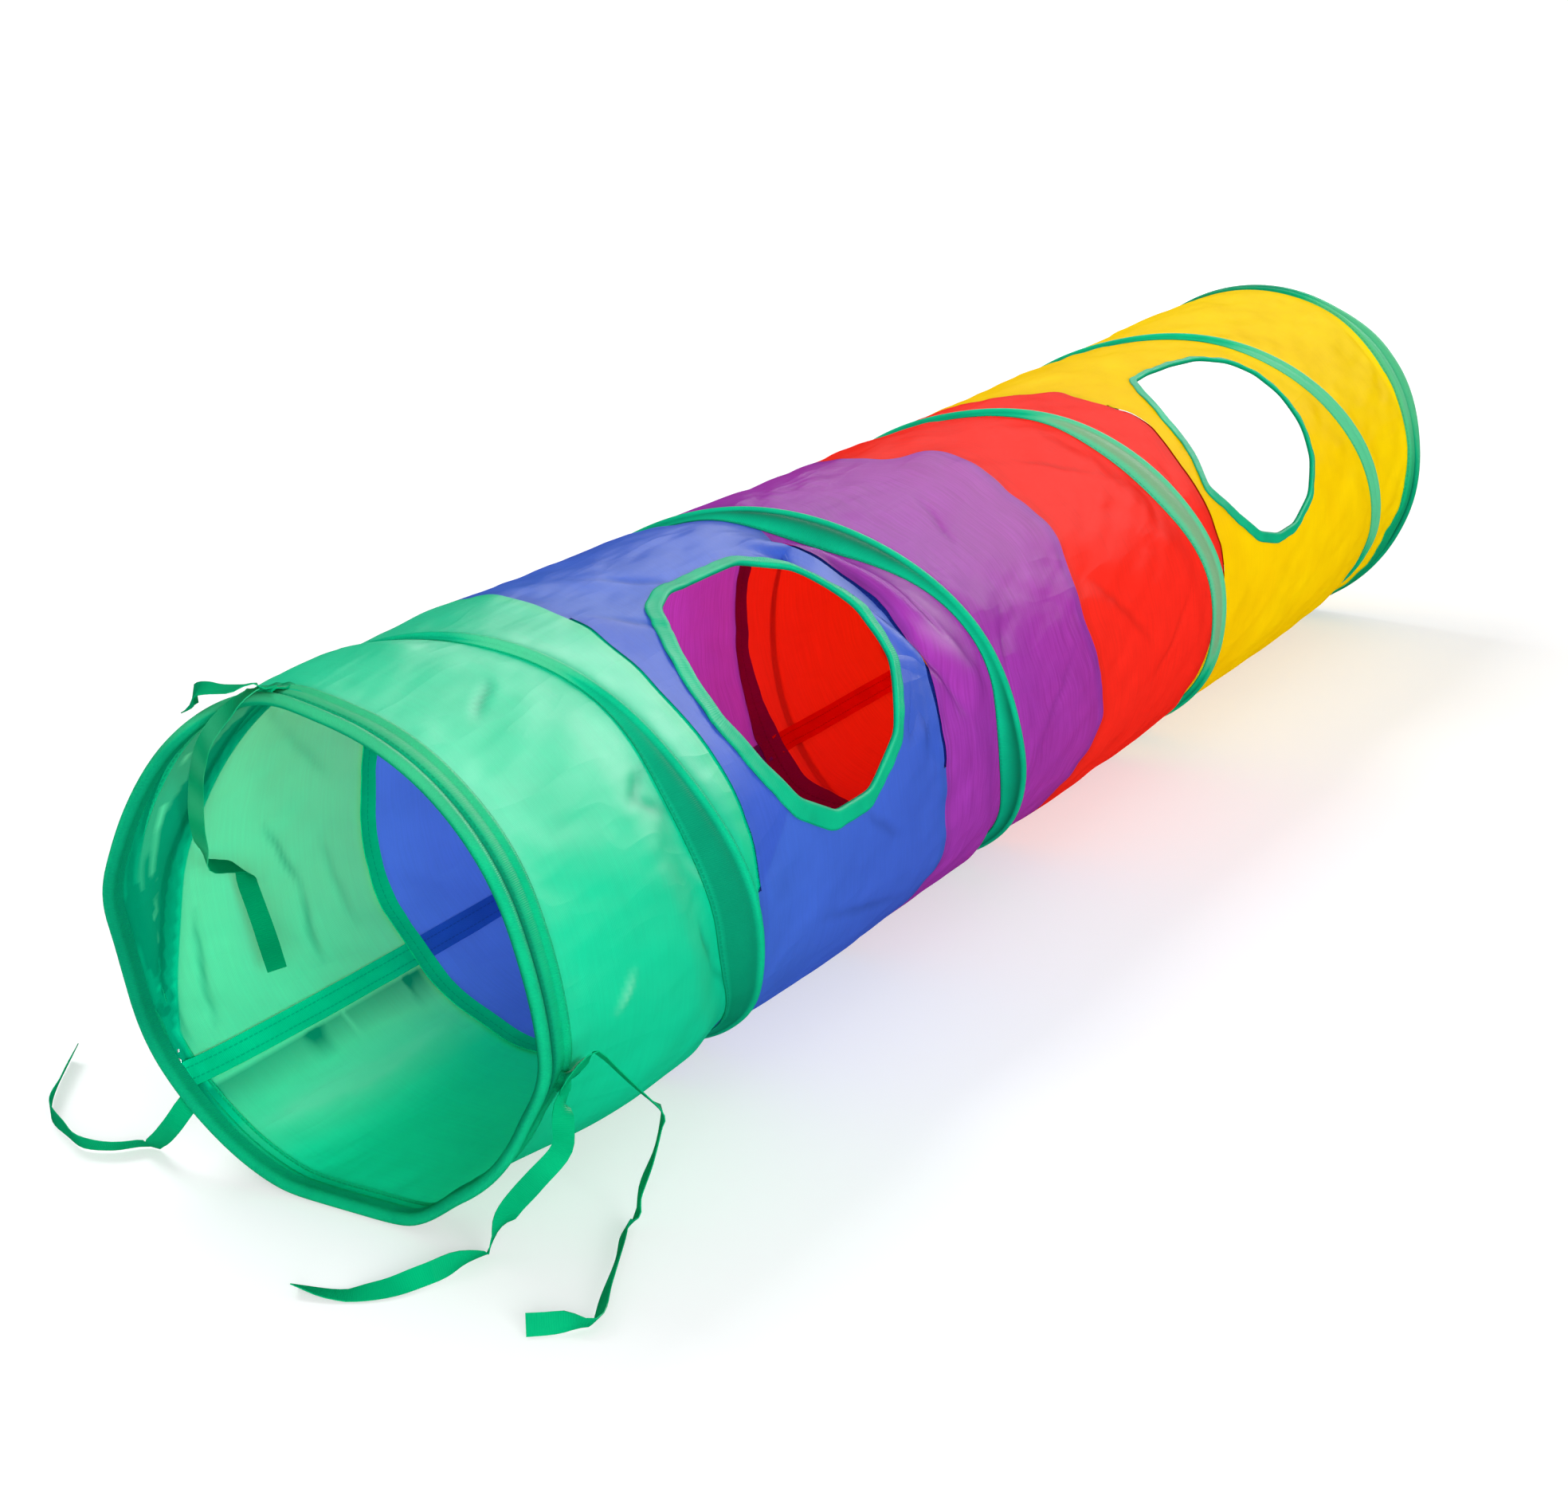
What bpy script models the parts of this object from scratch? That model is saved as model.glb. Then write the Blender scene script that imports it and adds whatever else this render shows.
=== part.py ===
"""Collapsible cat tunnel: a fabric tube in five colours, held open by one coiled spring wire.

Metres, +Z up. The tunnel lies along X with its near mouth (the one with the ribbon ties) at -X.
The origin is on the floor, under the middle of the tunnel. Angles run round the tunnel from its top,
positive towards -Y.
"""

import math

import bmesh
import bpy
from mathutils import Matrix, Vector

# Tunnel
TUNNEL_DIAMETER = 0.250
GREEN_LENGTH = 0.156
BLUE_LENGTH = 0.194
PURPLE_LENGTH = 0.198
RED_LENGTH = 0.187
YELLOW_LENGTH = 0.409
FLAT_DEPTH = 0.004  # how far the floor presses the round underside in

# Fabric and wire
GAP = 0.0003  # between pieces that touch
PANEL_WALL = 0.0008
HEM_WALL = 0.0009
TAPE_WALL = 0.0009
SEAM_WALL = 0.0008
BINDING_WALL = 0.0008
WIRE_DIAMETER = 0.002

# Hems at the mouths
HEM_WIDTH = 0.018
HEM_INNER_WIDTH = 0.005
HOOP_ADVANCE = 0.0027  # a hoop turn moves along by this much, so the wire lies beside itself

# Coil and its casing tape
COIL_TURNS = 4
CHANNEL_WIDTH = 0.0036
NARROW_FLANGE = 0.005
WIDE_FLANGE = 0.011
# Where the laid-out coil lies: turns from the seam, and the share of the length it has covered
COIL_STATIONS = (
    (0.00, 0.000),
    (0.07, 0.018),
    (0.16, 0.040),
    (0.29, 0.064),
    (0.52, 0.102),
    (0.74, 0.152),
    (1.05, 0.226),
    (1.32, 0.308),
    (1.54, 0.363),
    (1.74, 0.437),
    (2.05, 0.507),
    (2.31, 0.544),
    (2.53, 0.613),
    (2.75, 0.690),
    (3.10, 0.745),
    (3.34, 0.778),
    (3.49, 0.855),
    (3.68, 0.934),
    (3.85, 0.985),
    (4.00, 1.000),
)

# Seams inside
SEAM_ANGLE = -130.5
SEAM_RING_WIDTH = 0.010

# Peep holes
WINDOW_ANGLE = 50.0
BLUE_WINDOW_AT = 0.094  # centre of the hole, from the near edge of its panel
BLUE_WINDOW_LENGTH = 0.156
YELLOW_WINDOW_AT = 0.115
YELLOW_WINDOW_LENGTH = 0.180
WINDOW_ACROSS = 0.134
BINDING_WIDTH = 0.010

# Ribbon ties
RIBBON_DIAMETER = 0.004  # the rolled-up outline of a 10 mm ribbon
RIBBON_SPACING = 0.010
TAB_LENGTH = 0.013
TAB_WIDTH = 0.012
TAB_WALL = 0.0012
TOP_TIE_ANGLE = -15.0
RIGHT_TIE_ANGLE = 105.0
LEFT_TIE_ANGLE = 225.0

# Routes of the free ribbons, from the hem outwards
TOP_LONG_ROUTE = (
    (-0.5723, 0.0358, 0.2417),
    (-0.5765, 0.0358, 0.2417),
    (-0.5775, 0.0450, 0.2340),
    (-0.5735, 0.0520, 0.2245),
    (-0.5560, 0.0670, 0.2163),
    (-0.5350, 0.0838, 0.2019),
    (-0.5260, 0.1009, 0.1793),
    (-0.5240, 0.1102, 0.1589),
    (-0.5190, 0.1154, 0.1372),
    (-0.5100, 0.1165, 0.1230),
    (-0.4960, 0.1163, 0.1140),
    (-0.4850, 0.1145, 0.0995),
    (-0.4820, 0.1095, 0.0812),
    (-0.4810, 0.1030, 0.0665),
)
TOP_SHORT_ROUTE = (
    (-0.5723, 0.0294, 0.2434),
    (-0.5765, 0.0294, 0.2434),
    (-0.5800, 0.0370, 0.2495),
    (-0.5830, 0.0520, 0.2490),
    (-0.5810, 0.0650, 0.2420),
    (-0.5700, 0.0790, 0.2330),
    (-0.5550, 0.0900, 0.2240),
    (-0.5400, 0.0970, 0.2140),
)
RIGHT_FRONT_ROUTE = (
    (-0.5723, -0.1207, 0.0852),
    (-0.5765, -0.1207, 0.0852),
    (-0.5810, -0.1200, 0.0740),
    (-0.5805, -0.1170, 0.0610),
    (-0.5850, -0.1050, 0.0470),
    (-0.5850, -0.0940, 0.0280),
    (-0.5790, -0.0850, 0.0120),
    (-0.5840, -0.0810, 0.0030),
    (-0.6101, -0.0722, 0.0022),
    (-0.6285, -0.0604, 0.0022),
    (-0.6396, -0.0435, 0.0022),
    (-0.6443, -0.0256, 0.0022),
)
RIGHT_BACK_ROUTE = (
    (-0.5723, -0.1224, 0.0916),
    (-0.5765, -0.1224, 0.0916),
    (-0.5770, -0.1310, 0.1030),
    (-0.5670, -0.1345, 0.1100),
    (-0.5560, -0.1440, 0.0950),
    (-0.5380, -0.1455, 0.0730),
    (-0.5230, -0.1370, 0.0400),
    (-0.5200, -0.1250, 0.0120),
    (-0.5330, -0.1240, 0.0030),
    (-0.5552, -0.1341, 0.0022),
    (-0.5800, -0.1450, 0.0022),
    (-0.6027, -0.1532, 0.0022),
    (-0.6164, -0.1423, 0.0022),
    (-0.6256, -0.1325, 0.0022),
)
LEFT_ROUTE = (
    (-0.5723, 0.0890, 0.0320),
    (-0.5765, 0.0890, 0.0320),
    (-0.5800, 0.0960, 0.0210),
    (-0.5770, 0.1080, 0.0090),
    (-0.5740, 0.1180, 0.0028),
    (-0.5850, 0.1290, 0.0022),
    (-0.5900, 0.1440, 0.0022),
    (-0.5840, 0.1590, 0.0022),
    (-0.5720, 0.1800, 0.0022),
    (-0.5470, 0.1980, 0.0022),
    (-0.5150, 0.2170, 0.0022),
)

# Facets
FACETS = 40  # round the tunnel; every ring and coil shares these angles, so the layers stay parallel
WINDOW_FACETS = 36

# Derived sizes
RADIUS = TUNNEL_DIAMETER / 2
AXIS_HEIGHT = RADIUS - FLAT_DEPTH
PANEL_LENGTHS = (GREEN_LENGTH, BLUE_LENGTH, PURPLE_LENGTH, RED_LENGTH, YELLOW_LENGTH)
TUNNEL_LENGTH = sum(PANEL_LENGTHS)
NEAR_MOUTH = -TUNNEL_LENGTH / 2
FAR_MOUTH = TUNNEL_LENGTH / 2
WIRE_RADIUS = WIRE_DIAMETER / 2
OUTER_WALL = max(HEM_WALL, TAPE_WALL)
COIL_RADIUS = RADIUS - OUTER_WALL - GAP - WIRE_RADIUS
PANEL_OUTER = COIL_RADIUS - WIRE_RADIUS - GAP
PANEL_INNER = PANEL_OUTER - PANEL_WALL
HOOP_INSET = HEM_WALL + GAP + WIRE_RADIUS
FACET_ANGLE = 360 / FACETS
SEAM_START = math.floor(SEAM_ANGLE / FACET_ANGLE) * FACET_ANGLE  # the seam is one facet wide
TAPE_REACH = WIDE_FLANGE + NARROW_FLANGE + CHANNEL_WIDTH + 2 * TAPE_WALL

# Colours: base colour and roughness
GREEN = ((0.010, 0.480, 0.240), 0.55)
BINDING_GREEN = ((0.006, 0.400, 0.200), 0.60)
DARK_GREEN = ((0.004, 0.250, 0.120), 0.60)
BLUE = ((0.060, 0.120, 0.560), 0.55)
DARK_BLUE = ((0.020, 0.045, 0.300), 0.60)
PURPLE = ((0.300, 0.045, 0.370), 0.55)
DARK_PURPLE = ((0.130, 0.012, 0.170), 0.60)
RED = ((0.900, 0.022, 0.010), 0.55)
DARK_RED = ((0.300, 0.004, 0.010), 0.60)
YELLOW = ((1.000, 0.560, 0.005), 0.55)
DARK_YELLOW = ((0.620, 0.300, 0.003), 0.60)
STEEL = ((0.450, 0.450, 0.460), 0.35)


def clear_scene():
    for old in list(bpy.data.objects):
        bpy.data.objects.remove(old, do_unlink=True)


def new_collection(name):
    collection = bpy.data.collections.new(name)
    bpy.context.scene.collection.children.link(collection)
    return collection


def new_material(name, colour, metallic=0.0):
    base, roughness = colour
    material = bpy.data.materials.new(name)
    material.use_nodes = True
    shader = material.node_tree.nodes["Principled BSDF"]
    shader.inputs["Base Color"].default_value = (*base, 1.0)
    shader.inputs["Roughness"].default_value = roughness
    shader.inputs["Metallic"].default_value = metallic
    return material


def new_object(name, bm, collection):
    """A mesh object made from bm, with its faces pointing out."""
    bmesh.ops.recalc_face_normals(bm, faces=bm.faces)
    mesh = bpy.data.meshes.new(name)
    bm.to_mesh(mesh)
    bm.free()
    obj = bpy.data.objects.new(name, mesh)
    collection.objects.link(obj)
    return obj


def finish(obj, colour, metallic=0.0):
    obj.data.materials.append(new_material(obj.name, colour, metallic))
    obj.data.shade_smooth()
    obj.data.set_sharp_from_angle(angle=math.radians(30))
    return obj


def as_cutter(obj):
    obj.hide_render = True
    obj.display_type = "WIRE"
    return obj


def add_boolean(obj, cutter, operation):
    modifier = obj.modifiers.new(cutter.name, "BOOLEAN")
    modifier.operation = operation
    modifier.object = cutter
    return modifier


# Geometry of the tube


def tube_point(x, radius, degrees):
    """A point on the tube of this radius, whose underside is pressed flat by FLAT_DEPTH."""
    angle = math.radians(degrees)
    height = max(radius * math.cos(angle), -(radius - FLAT_DEPTH))
    return Vector((x, -radius * math.sin(angle), AXIS_HEIGHT + height))


def ring_angles(start=0.0, turns=1.0):
    """Angles from start, one facet apart, over so many turns."""
    steps = round(turns * FACETS)
    return [start + step * FACET_ANGLE for step in range(steps + 1)]


def sweep(name, profile, stations, collection, closed=False):
    """A loft of a closed profile of (x, radius) points round the tube, by stations of (angle, x)."""
    bm = bmesh.new()
    rows = [
        [bm.verts.new(tube_point(x + along, radius, angle)) for along, radius in profile]
        for angle, x in stations
    ]
    pairs = list(zip(rows, rows[1:]))
    if closed:
        pairs.append((rows[-1], rows[0]))
    else:
        bm.faces.new(rows[0])
        bm.faces.new(rows[-1])
    count = len(profile)
    for row, following in pairs:
        for i in range(count):
            j = (i + 1) % count
            bm.faces.new((row[i], row[j], following[j], following[i]))
    return new_object(name, bm, collection)


def box_profile(start, end, inner, outer):
    return ((start, inner), (end, inner), (end, outer), (start, outer))


def ring_solid(name, profile, collection):
    stations = [(angle, 0.0) for angle in ring_angles()[:-1]]
    return sweep(name, profile, stations, collection, closed=True)


# Path of the wire


def coil_slope(stations, i):
    before = stations[max(i - 1, 0)]
    after = stations[min(i + 1, len(stations) - 1)]
    return (after[1] - before[1]) / (after[0] - before[0])


def coil_share(turn):
    """Share of the coil's length covered after so many turns, eased through COIL_STATIONS."""
    spans = list(zip(COIL_STATIONS, COIL_STATIONS[1:]))
    index = next((i for i, (_, end) in enumerate(spans) if turn <= end[0]), len(spans) - 1)
    (t0, s0), (t1, s1) = spans[index]
    width = t1 - t0
    t = (turn - t0) / width
    ends = (0, len(COIL_STATIONS) - 1)
    m0 = 0.0 if index in ends else coil_slope(COIL_STATIONS, index) * width
    m1 = 0.0 if index + 1 in ends else coil_slope(COIL_STATIONS, index + 1) * width
    bend_start = 2 * t**3 - 3 * t**2 + 1
    bend_end = t**2 * (3 - 2 * t)
    return bend_start * s0 + (t**3 - 2 * t**2 + t) * m0 + bend_end * s1 + (t**3 - t**2) * m1


def coil_x(turn):
    """Where the wire is along the tunnel. Turns below 0 and above COIL_TURNS are the two hoops."""
    start = NEAR_MOUTH + HOOP_INSET
    end = FAR_MOUTH - HOOP_INSET
    if turn < 0:
        return start + (turn + 1) * HOOP_ADVANCE
    if turn > COIL_TURNS:
        return end - (COIL_TURNS + 1 - turn) * HOOP_ADVANCE
    run_start = start + HOOP_ADVANCE
    run_end = end - HOOP_ADVANCE
    return run_start + coil_share(turn * COIL_STATIONS[-1][0] / COIL_TURNS) * (run_end - run_start)


def coil_stations(first_turn, last_turn):
    start = SEAM_START + first_turn * 360
    angles = ring_angles(start, last_turn - first_turn)
    return [(angle, coil_x((angle - SEAM_START) / 360)) for angle in angles]


# Pieces


def make_hem(name, mouth, inward, collection):
    """A strip folded over the edge of the fabric and the hoop of the wire. It is open towards the panel."""
    leg_outer = PANEL_INNER - GAP
    leg_inner = leg_outer - HEM_WALL
    fold = mouth + inward * HEM_WALL
    profile = (
        (mouth, RADIUS),
        (mouth + inward * HEM_WIDTH, RADIUS),
        (mouth + inward * HEM_WIDTH, RADIUS - HEM_WALL),
        (fold, RADIUS - HEM_WALL),
        (fold, leg_outer),
        (mouth + inward * HEM_INNER_WIDTH, leg_outer),
        (mouth + inward * HEM_INNER_WIDTH, leg_inner),
        (mouth, leg_inner),
    )
    return finish(ring_solid(name, profile, collection), BINDING_GREEN)


def make_wire(collection):
    """One spring wire: a hoop turn, the coil and a second hoop turn."""
    curve = bpy.data.curves.new("spring_wire", "CURVE")
    curve.dimensions = "3D"
    curve.bevel_depth = WIRE_RADIUS
    curve.bevel_resolution = 1
    curve.use_fill_caps = True
    stations = coil_stations(-1, COIL_TURNS + 1)
    spline = curve.splines.new("POLY")
    spline.points.add(len(stations) - 1)
    for point, (angle, x) in zip(spline.points, stations):
        point.co = (*tube_point(x, COIL_RADIUS, angle), 1.0)
    wire = bpy.data.objects.new("spring_wire", curve)
    collection.objects.link(wire)
    wire.data.materials.append(new_material("spring_wire", STEEL, metallic=1.0))
    return wire


def make_casing_tape(collection, cutters):
    """The tape that is sewn over the coil: a ridge over the wire between two unequal flanges."""
    ridge = CHANNEL_WIDTH / 2 + TAPE_WALL
    channel = CHANNEL_WIDTH / 2
    low = PANEL_OUTER + GAP
    profile = (
        (-ridge - WIDE_FLANGE, low),
        (-channel, low),
        (-channel, RADIUS - TAPE_WALL),
        (channel, RADIUS - TAPE_WALL),
        (channel, low),
        (ridge + NARROW_FLANGE, low),
        (ridge + NARROW_FLANGE, low + TAPE_WALL),
        (ridge, low + TAPE_WALL),
        (ridge, RADIUS),
        (-ridge, RADIUS),
        (-ridge, low + TAPE_WALL),
        (-ridge - WIDE_FLANGE, low + TAPE_WALL),
    )
    tape = sweep("casing_tape", profile, coil_stations(0, COIL_TURNS), collection)
    for end, mouth, inward in (("near", NEAR_MOUTH, 1), ("far", FAR_MOUTH, -1)):
        edge = mouth + inward * (HEM_WIDTH + GAP)
        past = mouth - inward * TAPE_REACH
        cutter = make_box("tape_trim_" + end, min(edge, past), max(edge, past), cutters)
        add_boolean(tape, cutter, "DIFFERENCE")
    return finish(tape, BINDING_GREEN)


def make_box(name, start, end, collection):
    """A cutter that takes in the whole cross-section of the tunnel between two places on its length."""
    width = TUNNEL_DIAMETER * 2
    bm = bmesh.new()
    size = Matrix.Diagonal((end - start, width, width, 1.0))
    centre = Matrix.Translation(((start + end) / 2, 0, AXIS_HEIGHT))
    bmesh.ops.create_cube(bm, size=1.0, matrix=centre @ size)
    return as_cutter(new_object(name, bm, collection))


def make_panel(name, start, end, colour, collection):
    profile = box_profile(start, end, PANEL_INNER, PANEL_OUTER)
    return finish(ring_solid(name, profile, collection), colour)


def panel_edges():
    """Where the panels begin and end, from the near mouth to the far one."""
    edges = [NEAR_MOUTH]
    for length in PANEL_LENGTHS:
        edges.append(edges[-1] + length)
    return edges


def panel_spans():
    """Start and end of each panel. They stop short of the folds of the hems and of each other."""
    edges = panel_edges()
    spans = [[start + GAP / 2, end - GAP / 2] for start, end in zip(edges, edges[1:])]
    spans[0][0] = NEAR_MOUTH + HEM_WALL + GAP
    spans[-1][1] = FAR_MOUTH - HEM_WALL - GAP
    return spans


def make_window_prism(name, centre, length, across, collection):
    """An oval cutter that points out of the tunnel at WINDOW_ANGLE."""
    depth = RADIUS
    outward = Matrix.Rotation(math.radians(WINDOW_ANGLE), 4, "X")
    place = Matrix.Translation((centre, 0, AXIS_HEIGHT))
    stand = Matrix.Translation((0, 0, RADIUS))
    oval = Matrix.Diagonal((length / 2, across / 2, 1.0, 1.0))
    bm = bmesh.new()
    bmesh.ops.create_cone(
        bm,
        cap_ends=True,
        segments=WINDOW_FACETS,
        radius1=1.0,
        radius2=1.0,
        depth=depth,
        matrix=place @ outward @ stand @ oval,
    )
    return as_cutter(new_object(name, bm, collection))


def make_window_sheet(name, centre, length, inner, outer, collection):
    """A curved sheet under a peep hole and its binding, to be cut to their outline."""
    reach = length / 2 + 2 * BINDING_WIDTH
    half_turn = math.degrees(math.asin((WINDOW_ACROSS / 2 + BINDING_WIDTH) / inner))
    first = math.floor((WINDOW_ANGLE - half_turn) / FACET_ANGLE) - 1
    last = math.ceil((WINDOW_ANGLE + half_turn) / FACET_ANGLE) + 1
    profile = box_profile(centre - reach, centre + reach, inner, outer)
    stations = [(step * FACET_ANGLE, 0.0) for step in range(first, last + 1)]
    return sweep(name, profile, stations, collection)


def make_window(colour_name, panel, centre, length, collection, cutters):
    """The hole in the panel and the folded strip that binds its edge on both faces."""
    name = "window_binding_" + colour_name
    inner = PANEL_INNER - GAP
    outer = PANEL_OUTER + GAP
    edge = BINDING_WALL * 2
    fold = edge + GAP * 2
    sizes = {
        "opening": 0.0,
        "slot": edge,
        "hole": fold,
        "rim": BINDING_WIDTH * 2,
    }
    prisms = {
        key: make_window_prism(
            f"{name}_{key}", centre, length + extra, WINDOW_ACROSS + extra, cutters
        )
        for key, extra in sizes.items()
    }
    add_boolean(panel, prisms["hole"], "DIFFERENCE")
    slot = make_window_sheet(name + "_fold", centre, length + edge, inner, outer, cutters)
    add_boolean(as_cutter(slot), prisms["slot"], "DIFFERENCE")
    binding = make_window_sheet(
        name, centre, length, inner - BINDING_WALL, outer + BINDING_WALL, collection
    )
    add_boolean(binding, prisms["rim"], "INTERSECT")
    add_boolean(binding, prisms["opening"], "DIFFERENCE")
    add_boolean(binding, slot, "DIFFERENCE")
    return finish(binding, BINDING_GREEN)


def make_seam_ring(name, at, colour, collection):
    """The turned-in edges of two panels, sewn flat inside the tunnel."""
    outer = PANEL_INNER - GAP
    half = SEAM_RING_WIDTH / 2
    profile = box_profile(at - half, at + half, outer - SEAM_WALL, outer)
    return finish(ring_solid(name, profile, collection), colour)


def make_seam_strip(name, start, end, colour, collection):
    """The lengthwise seam of one panel, one facet wide, between the rings or hems at its ends."""
    outer = PANEL_INNER - GAP
    profile = box_profile(start, end, outer - SEAM_WALL, outer)
    stations = [(SEAM_START, 0.0), (SEAM_START + FACET_ANGLE, 0.0)]
    return finish(sweep(name, profile, stations, collection), colour)


def make_tie_tab(name, degrees, collection):
    """The sewn middle of a ribbon tie, flush with the mouth on the outside of the hem."""
    start = NEAR_MOUTH
    half_turn = math.degrees(TAB_WIDTH / 2 / RADIUS)
    inner = RADIUS + GAP
    profile = box_profile(start, start + TAB_LENGTH, inner, inner + TAB_WALL)
    turn = [degrees - half_turn, degrees, degrees + half_turn]
    stations = [(angle, 0.0) for angle in turn]
    return finish(sweep(name, profile, stations, collection), BINDING_GREEN)


# Free ribbons


def eased_point(route, position):
    """A point on the smooth curve through the route, at a position counted in route points."""
    i = min(int(position), len(route) - 2)
    t = position - i
    a = Vector(route[max(i - 1, 0)])
    b = Vector(route[i])
    c = Vector(route[i + 1])
    d = Vector(route[min(i + 2, len(route) - 1)])
    point = 0.5 * (2 * b + (c - a) * t + (2 * a - 5 * b + 4 * c - d) * t**2)
    return point + 0.5 * (3 * b - a - 3 * c + d) * t**3


def even_points(route, spacing):
    """Points at even distances along the smooth curve through the route."""
    fine = 40
    dense = [eased_point(route, i / fine) for i in range(fine * (len(route) - 1) + 1)]
    lengths = [0.0]
    for before, after in zip(dense, dense[1:]):
        lengths.append(lengths[-1] + (after - before).length)
    count = max(round(lengths[-1] / spacing), 2)
    points = []
    at = 0
    for k in range(count + 1):
        target = lengths[-1] * k / count
        while at < len(lengths) - 2 and lengths[at + 1] < target:
            at += 1
        share = (target - lengths[at]) / (lengths[at + 1] - lengths[at])
        points.append(dense[at].lerp(dense[at + 1], share))
    return points


def make_ribbon(name, route, collection):
    """A free ribbon. Its first leg leaves the hem square to the mouth, so its end meets the tab."""
    points = [Vector(route[0]), *even_points(route[1:], RIBBON_SPACING)]
    curve = bpy.data.curves.new(name, "CURVE")
    curve.dimensions = "3D"
    curve.bevel_depth = RIBBON_DIAMETER / 2
    curve.bevel_resolution = 2
    curve.use_fill_caps = True
    spline = curve.splines.new("POLY")
    spline.points.add(len(points) - 1)
    for point, place in zip(spline.points, points):
        point.co = (*place, 1.0)
    ribbon = bpy.data.objects.new(name, curve)
    collection.objects.link(ribbon)
    ribbon.data.materials.append(new_material(name, DARK_GREEN))
    return ribbon


def make_panels(collection, cutters):
    colours = {
        "green": (GREEN, DARK_GREEN),
        "blue": (BLUE, DARK_BLUE),
        "purple": (PURPLE, DARK_PURPLE),
        "red": (RED, DARK_RED),
        "yellow": (YELLOW, DARK_YELLOW),
    }
    spans = dict(zip(colours, panel_spans()))
    panels = {
        name: make_panel(name + "_panel", *spans[name], colours[name][0], collection)
        for name in colours
    }
    names = list(colours)
    edges = panel_edges()
    for name, following, at in zip(names, names[1:], edges[1:]):
        make_seam_ring(f"seam_ring_{name}_{following}", at, colours[name][1], collection)
    rooms = [SEAM_RING_WIDTH / 2 + GAP] * len(edges)
    rooms[0] = rooms[-1] = HEM_INNER_WIDTH + GAP
    for i, name in enumerate(names):
        start = edges[i] + rooms[i]
        end = edges[i + 1] - rooms[i + 1]
        make_seam_strip("seam_strip_" + name, start, end, colours[name][1], collection)
    starts = dict(zip(names, edges))
    blue_centre = starts["blue"] + BLUE_WINDOW_AT
    yellow_centre = starts["yellow"] + YELLOW_WINDOW_AT
    make_window("blue", panels["blue"], blue_centre, BLUE_WINDOW_LENGTH, collection, cutters)
    make_window(
        "yellow", panels["yellow"], yellow_centre, YELLOW_WINDOW_LENGTH, collection, cutters
    )


def make_ties(collection):
    make_tie_tab("tie_tab_top", TOP_TIE_ANGLE, collection)
    make_tie_tab("tie_tab_right", RIGHT_TIE_ANGLE, collection)
    make_tie_tab("tie_tab_left", LEFT_TIE_ANGLE, collection)
    make_ribbon("tie_top_long", TOP_LONG_ROUTE, collection)
    make_ribbon("tie_top_short", TOP_SHORT_ROUTE, collection)
    make_ribbon("tie_right_front", RIGHT_FRONT_ROUTE, collection)
    make_ribbon("tie_right_back", RIGHT_BACK_ROUTE, collection)
    make_ribbon("tie_left", LEFT_ROUTE, collection)


def main():
    clear_scene()
    collection = new_collection("cat_tunnel")
    cutters = new_collection("cutters")
    make_hem("hem_near", NEAR_MOUTH, 1, collection)
    make_hem("hem_far", FAR_MOUTH, -1, collection)
    make_wire(collection)
    make_casing_tape(collection, cutters)
    make_panels(collection, cutters)
    make_ties(collection)


main()
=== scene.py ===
import math

import bmesh
import bpy
import numpy as np
from bpy.props import FloatProperty, FloatVectorProperty, PointerProperty
from bpy.types import Operator, Panel, PropertyGroup
from mathutils import Matrix, Vector, noise


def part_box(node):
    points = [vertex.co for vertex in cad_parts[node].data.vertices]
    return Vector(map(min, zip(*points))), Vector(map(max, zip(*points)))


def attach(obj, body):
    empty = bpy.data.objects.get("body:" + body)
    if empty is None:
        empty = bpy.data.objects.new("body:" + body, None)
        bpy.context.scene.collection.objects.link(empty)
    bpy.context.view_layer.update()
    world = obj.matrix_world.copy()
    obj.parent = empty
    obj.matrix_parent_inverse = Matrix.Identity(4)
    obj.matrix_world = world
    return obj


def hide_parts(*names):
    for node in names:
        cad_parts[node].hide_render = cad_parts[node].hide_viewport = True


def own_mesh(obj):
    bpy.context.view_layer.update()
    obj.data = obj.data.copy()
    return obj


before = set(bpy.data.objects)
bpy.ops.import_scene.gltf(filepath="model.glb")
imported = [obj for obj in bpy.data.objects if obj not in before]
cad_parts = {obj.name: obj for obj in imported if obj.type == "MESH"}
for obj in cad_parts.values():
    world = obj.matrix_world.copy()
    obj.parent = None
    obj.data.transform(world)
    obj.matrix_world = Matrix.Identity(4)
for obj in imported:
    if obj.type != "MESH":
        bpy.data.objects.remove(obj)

bl_info = {
    "name": "Cat tunnel",
    "version": (1, 0, 0),
    "blender": (4, 5, 0),
    "location": "3D Viewport > Sidebar > Cat Tunnel",
    "description": "Dresses the frame of a pop-open cat tunnel in its fabric, tapes and ribbons",
    "category": "Object",
}

# Metres, +Z up, in the frame of the CAD model. A distance is counted along the tunnel from its near
# mouth, and an angle runs round the tunnel from its top, positive towards -Y.

NEAR_LOW, NEAR_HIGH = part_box("hem_near")
NEAR_MOUTH = NEAR_LOW.x
FAR_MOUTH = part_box("hem_far")[1].x
LENGTH = FAR_MOUTH - NEAR_MOUTH
FRAME_RADIUS = (NEAR_HIGH.y - NEAR_LOW.y) / 2
AXIS_HEIGHT = NEAR_HIGH.z - FRAME_RADIUS
GIRTH = 2 * math.pi * FRAME_RADIUS

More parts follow.
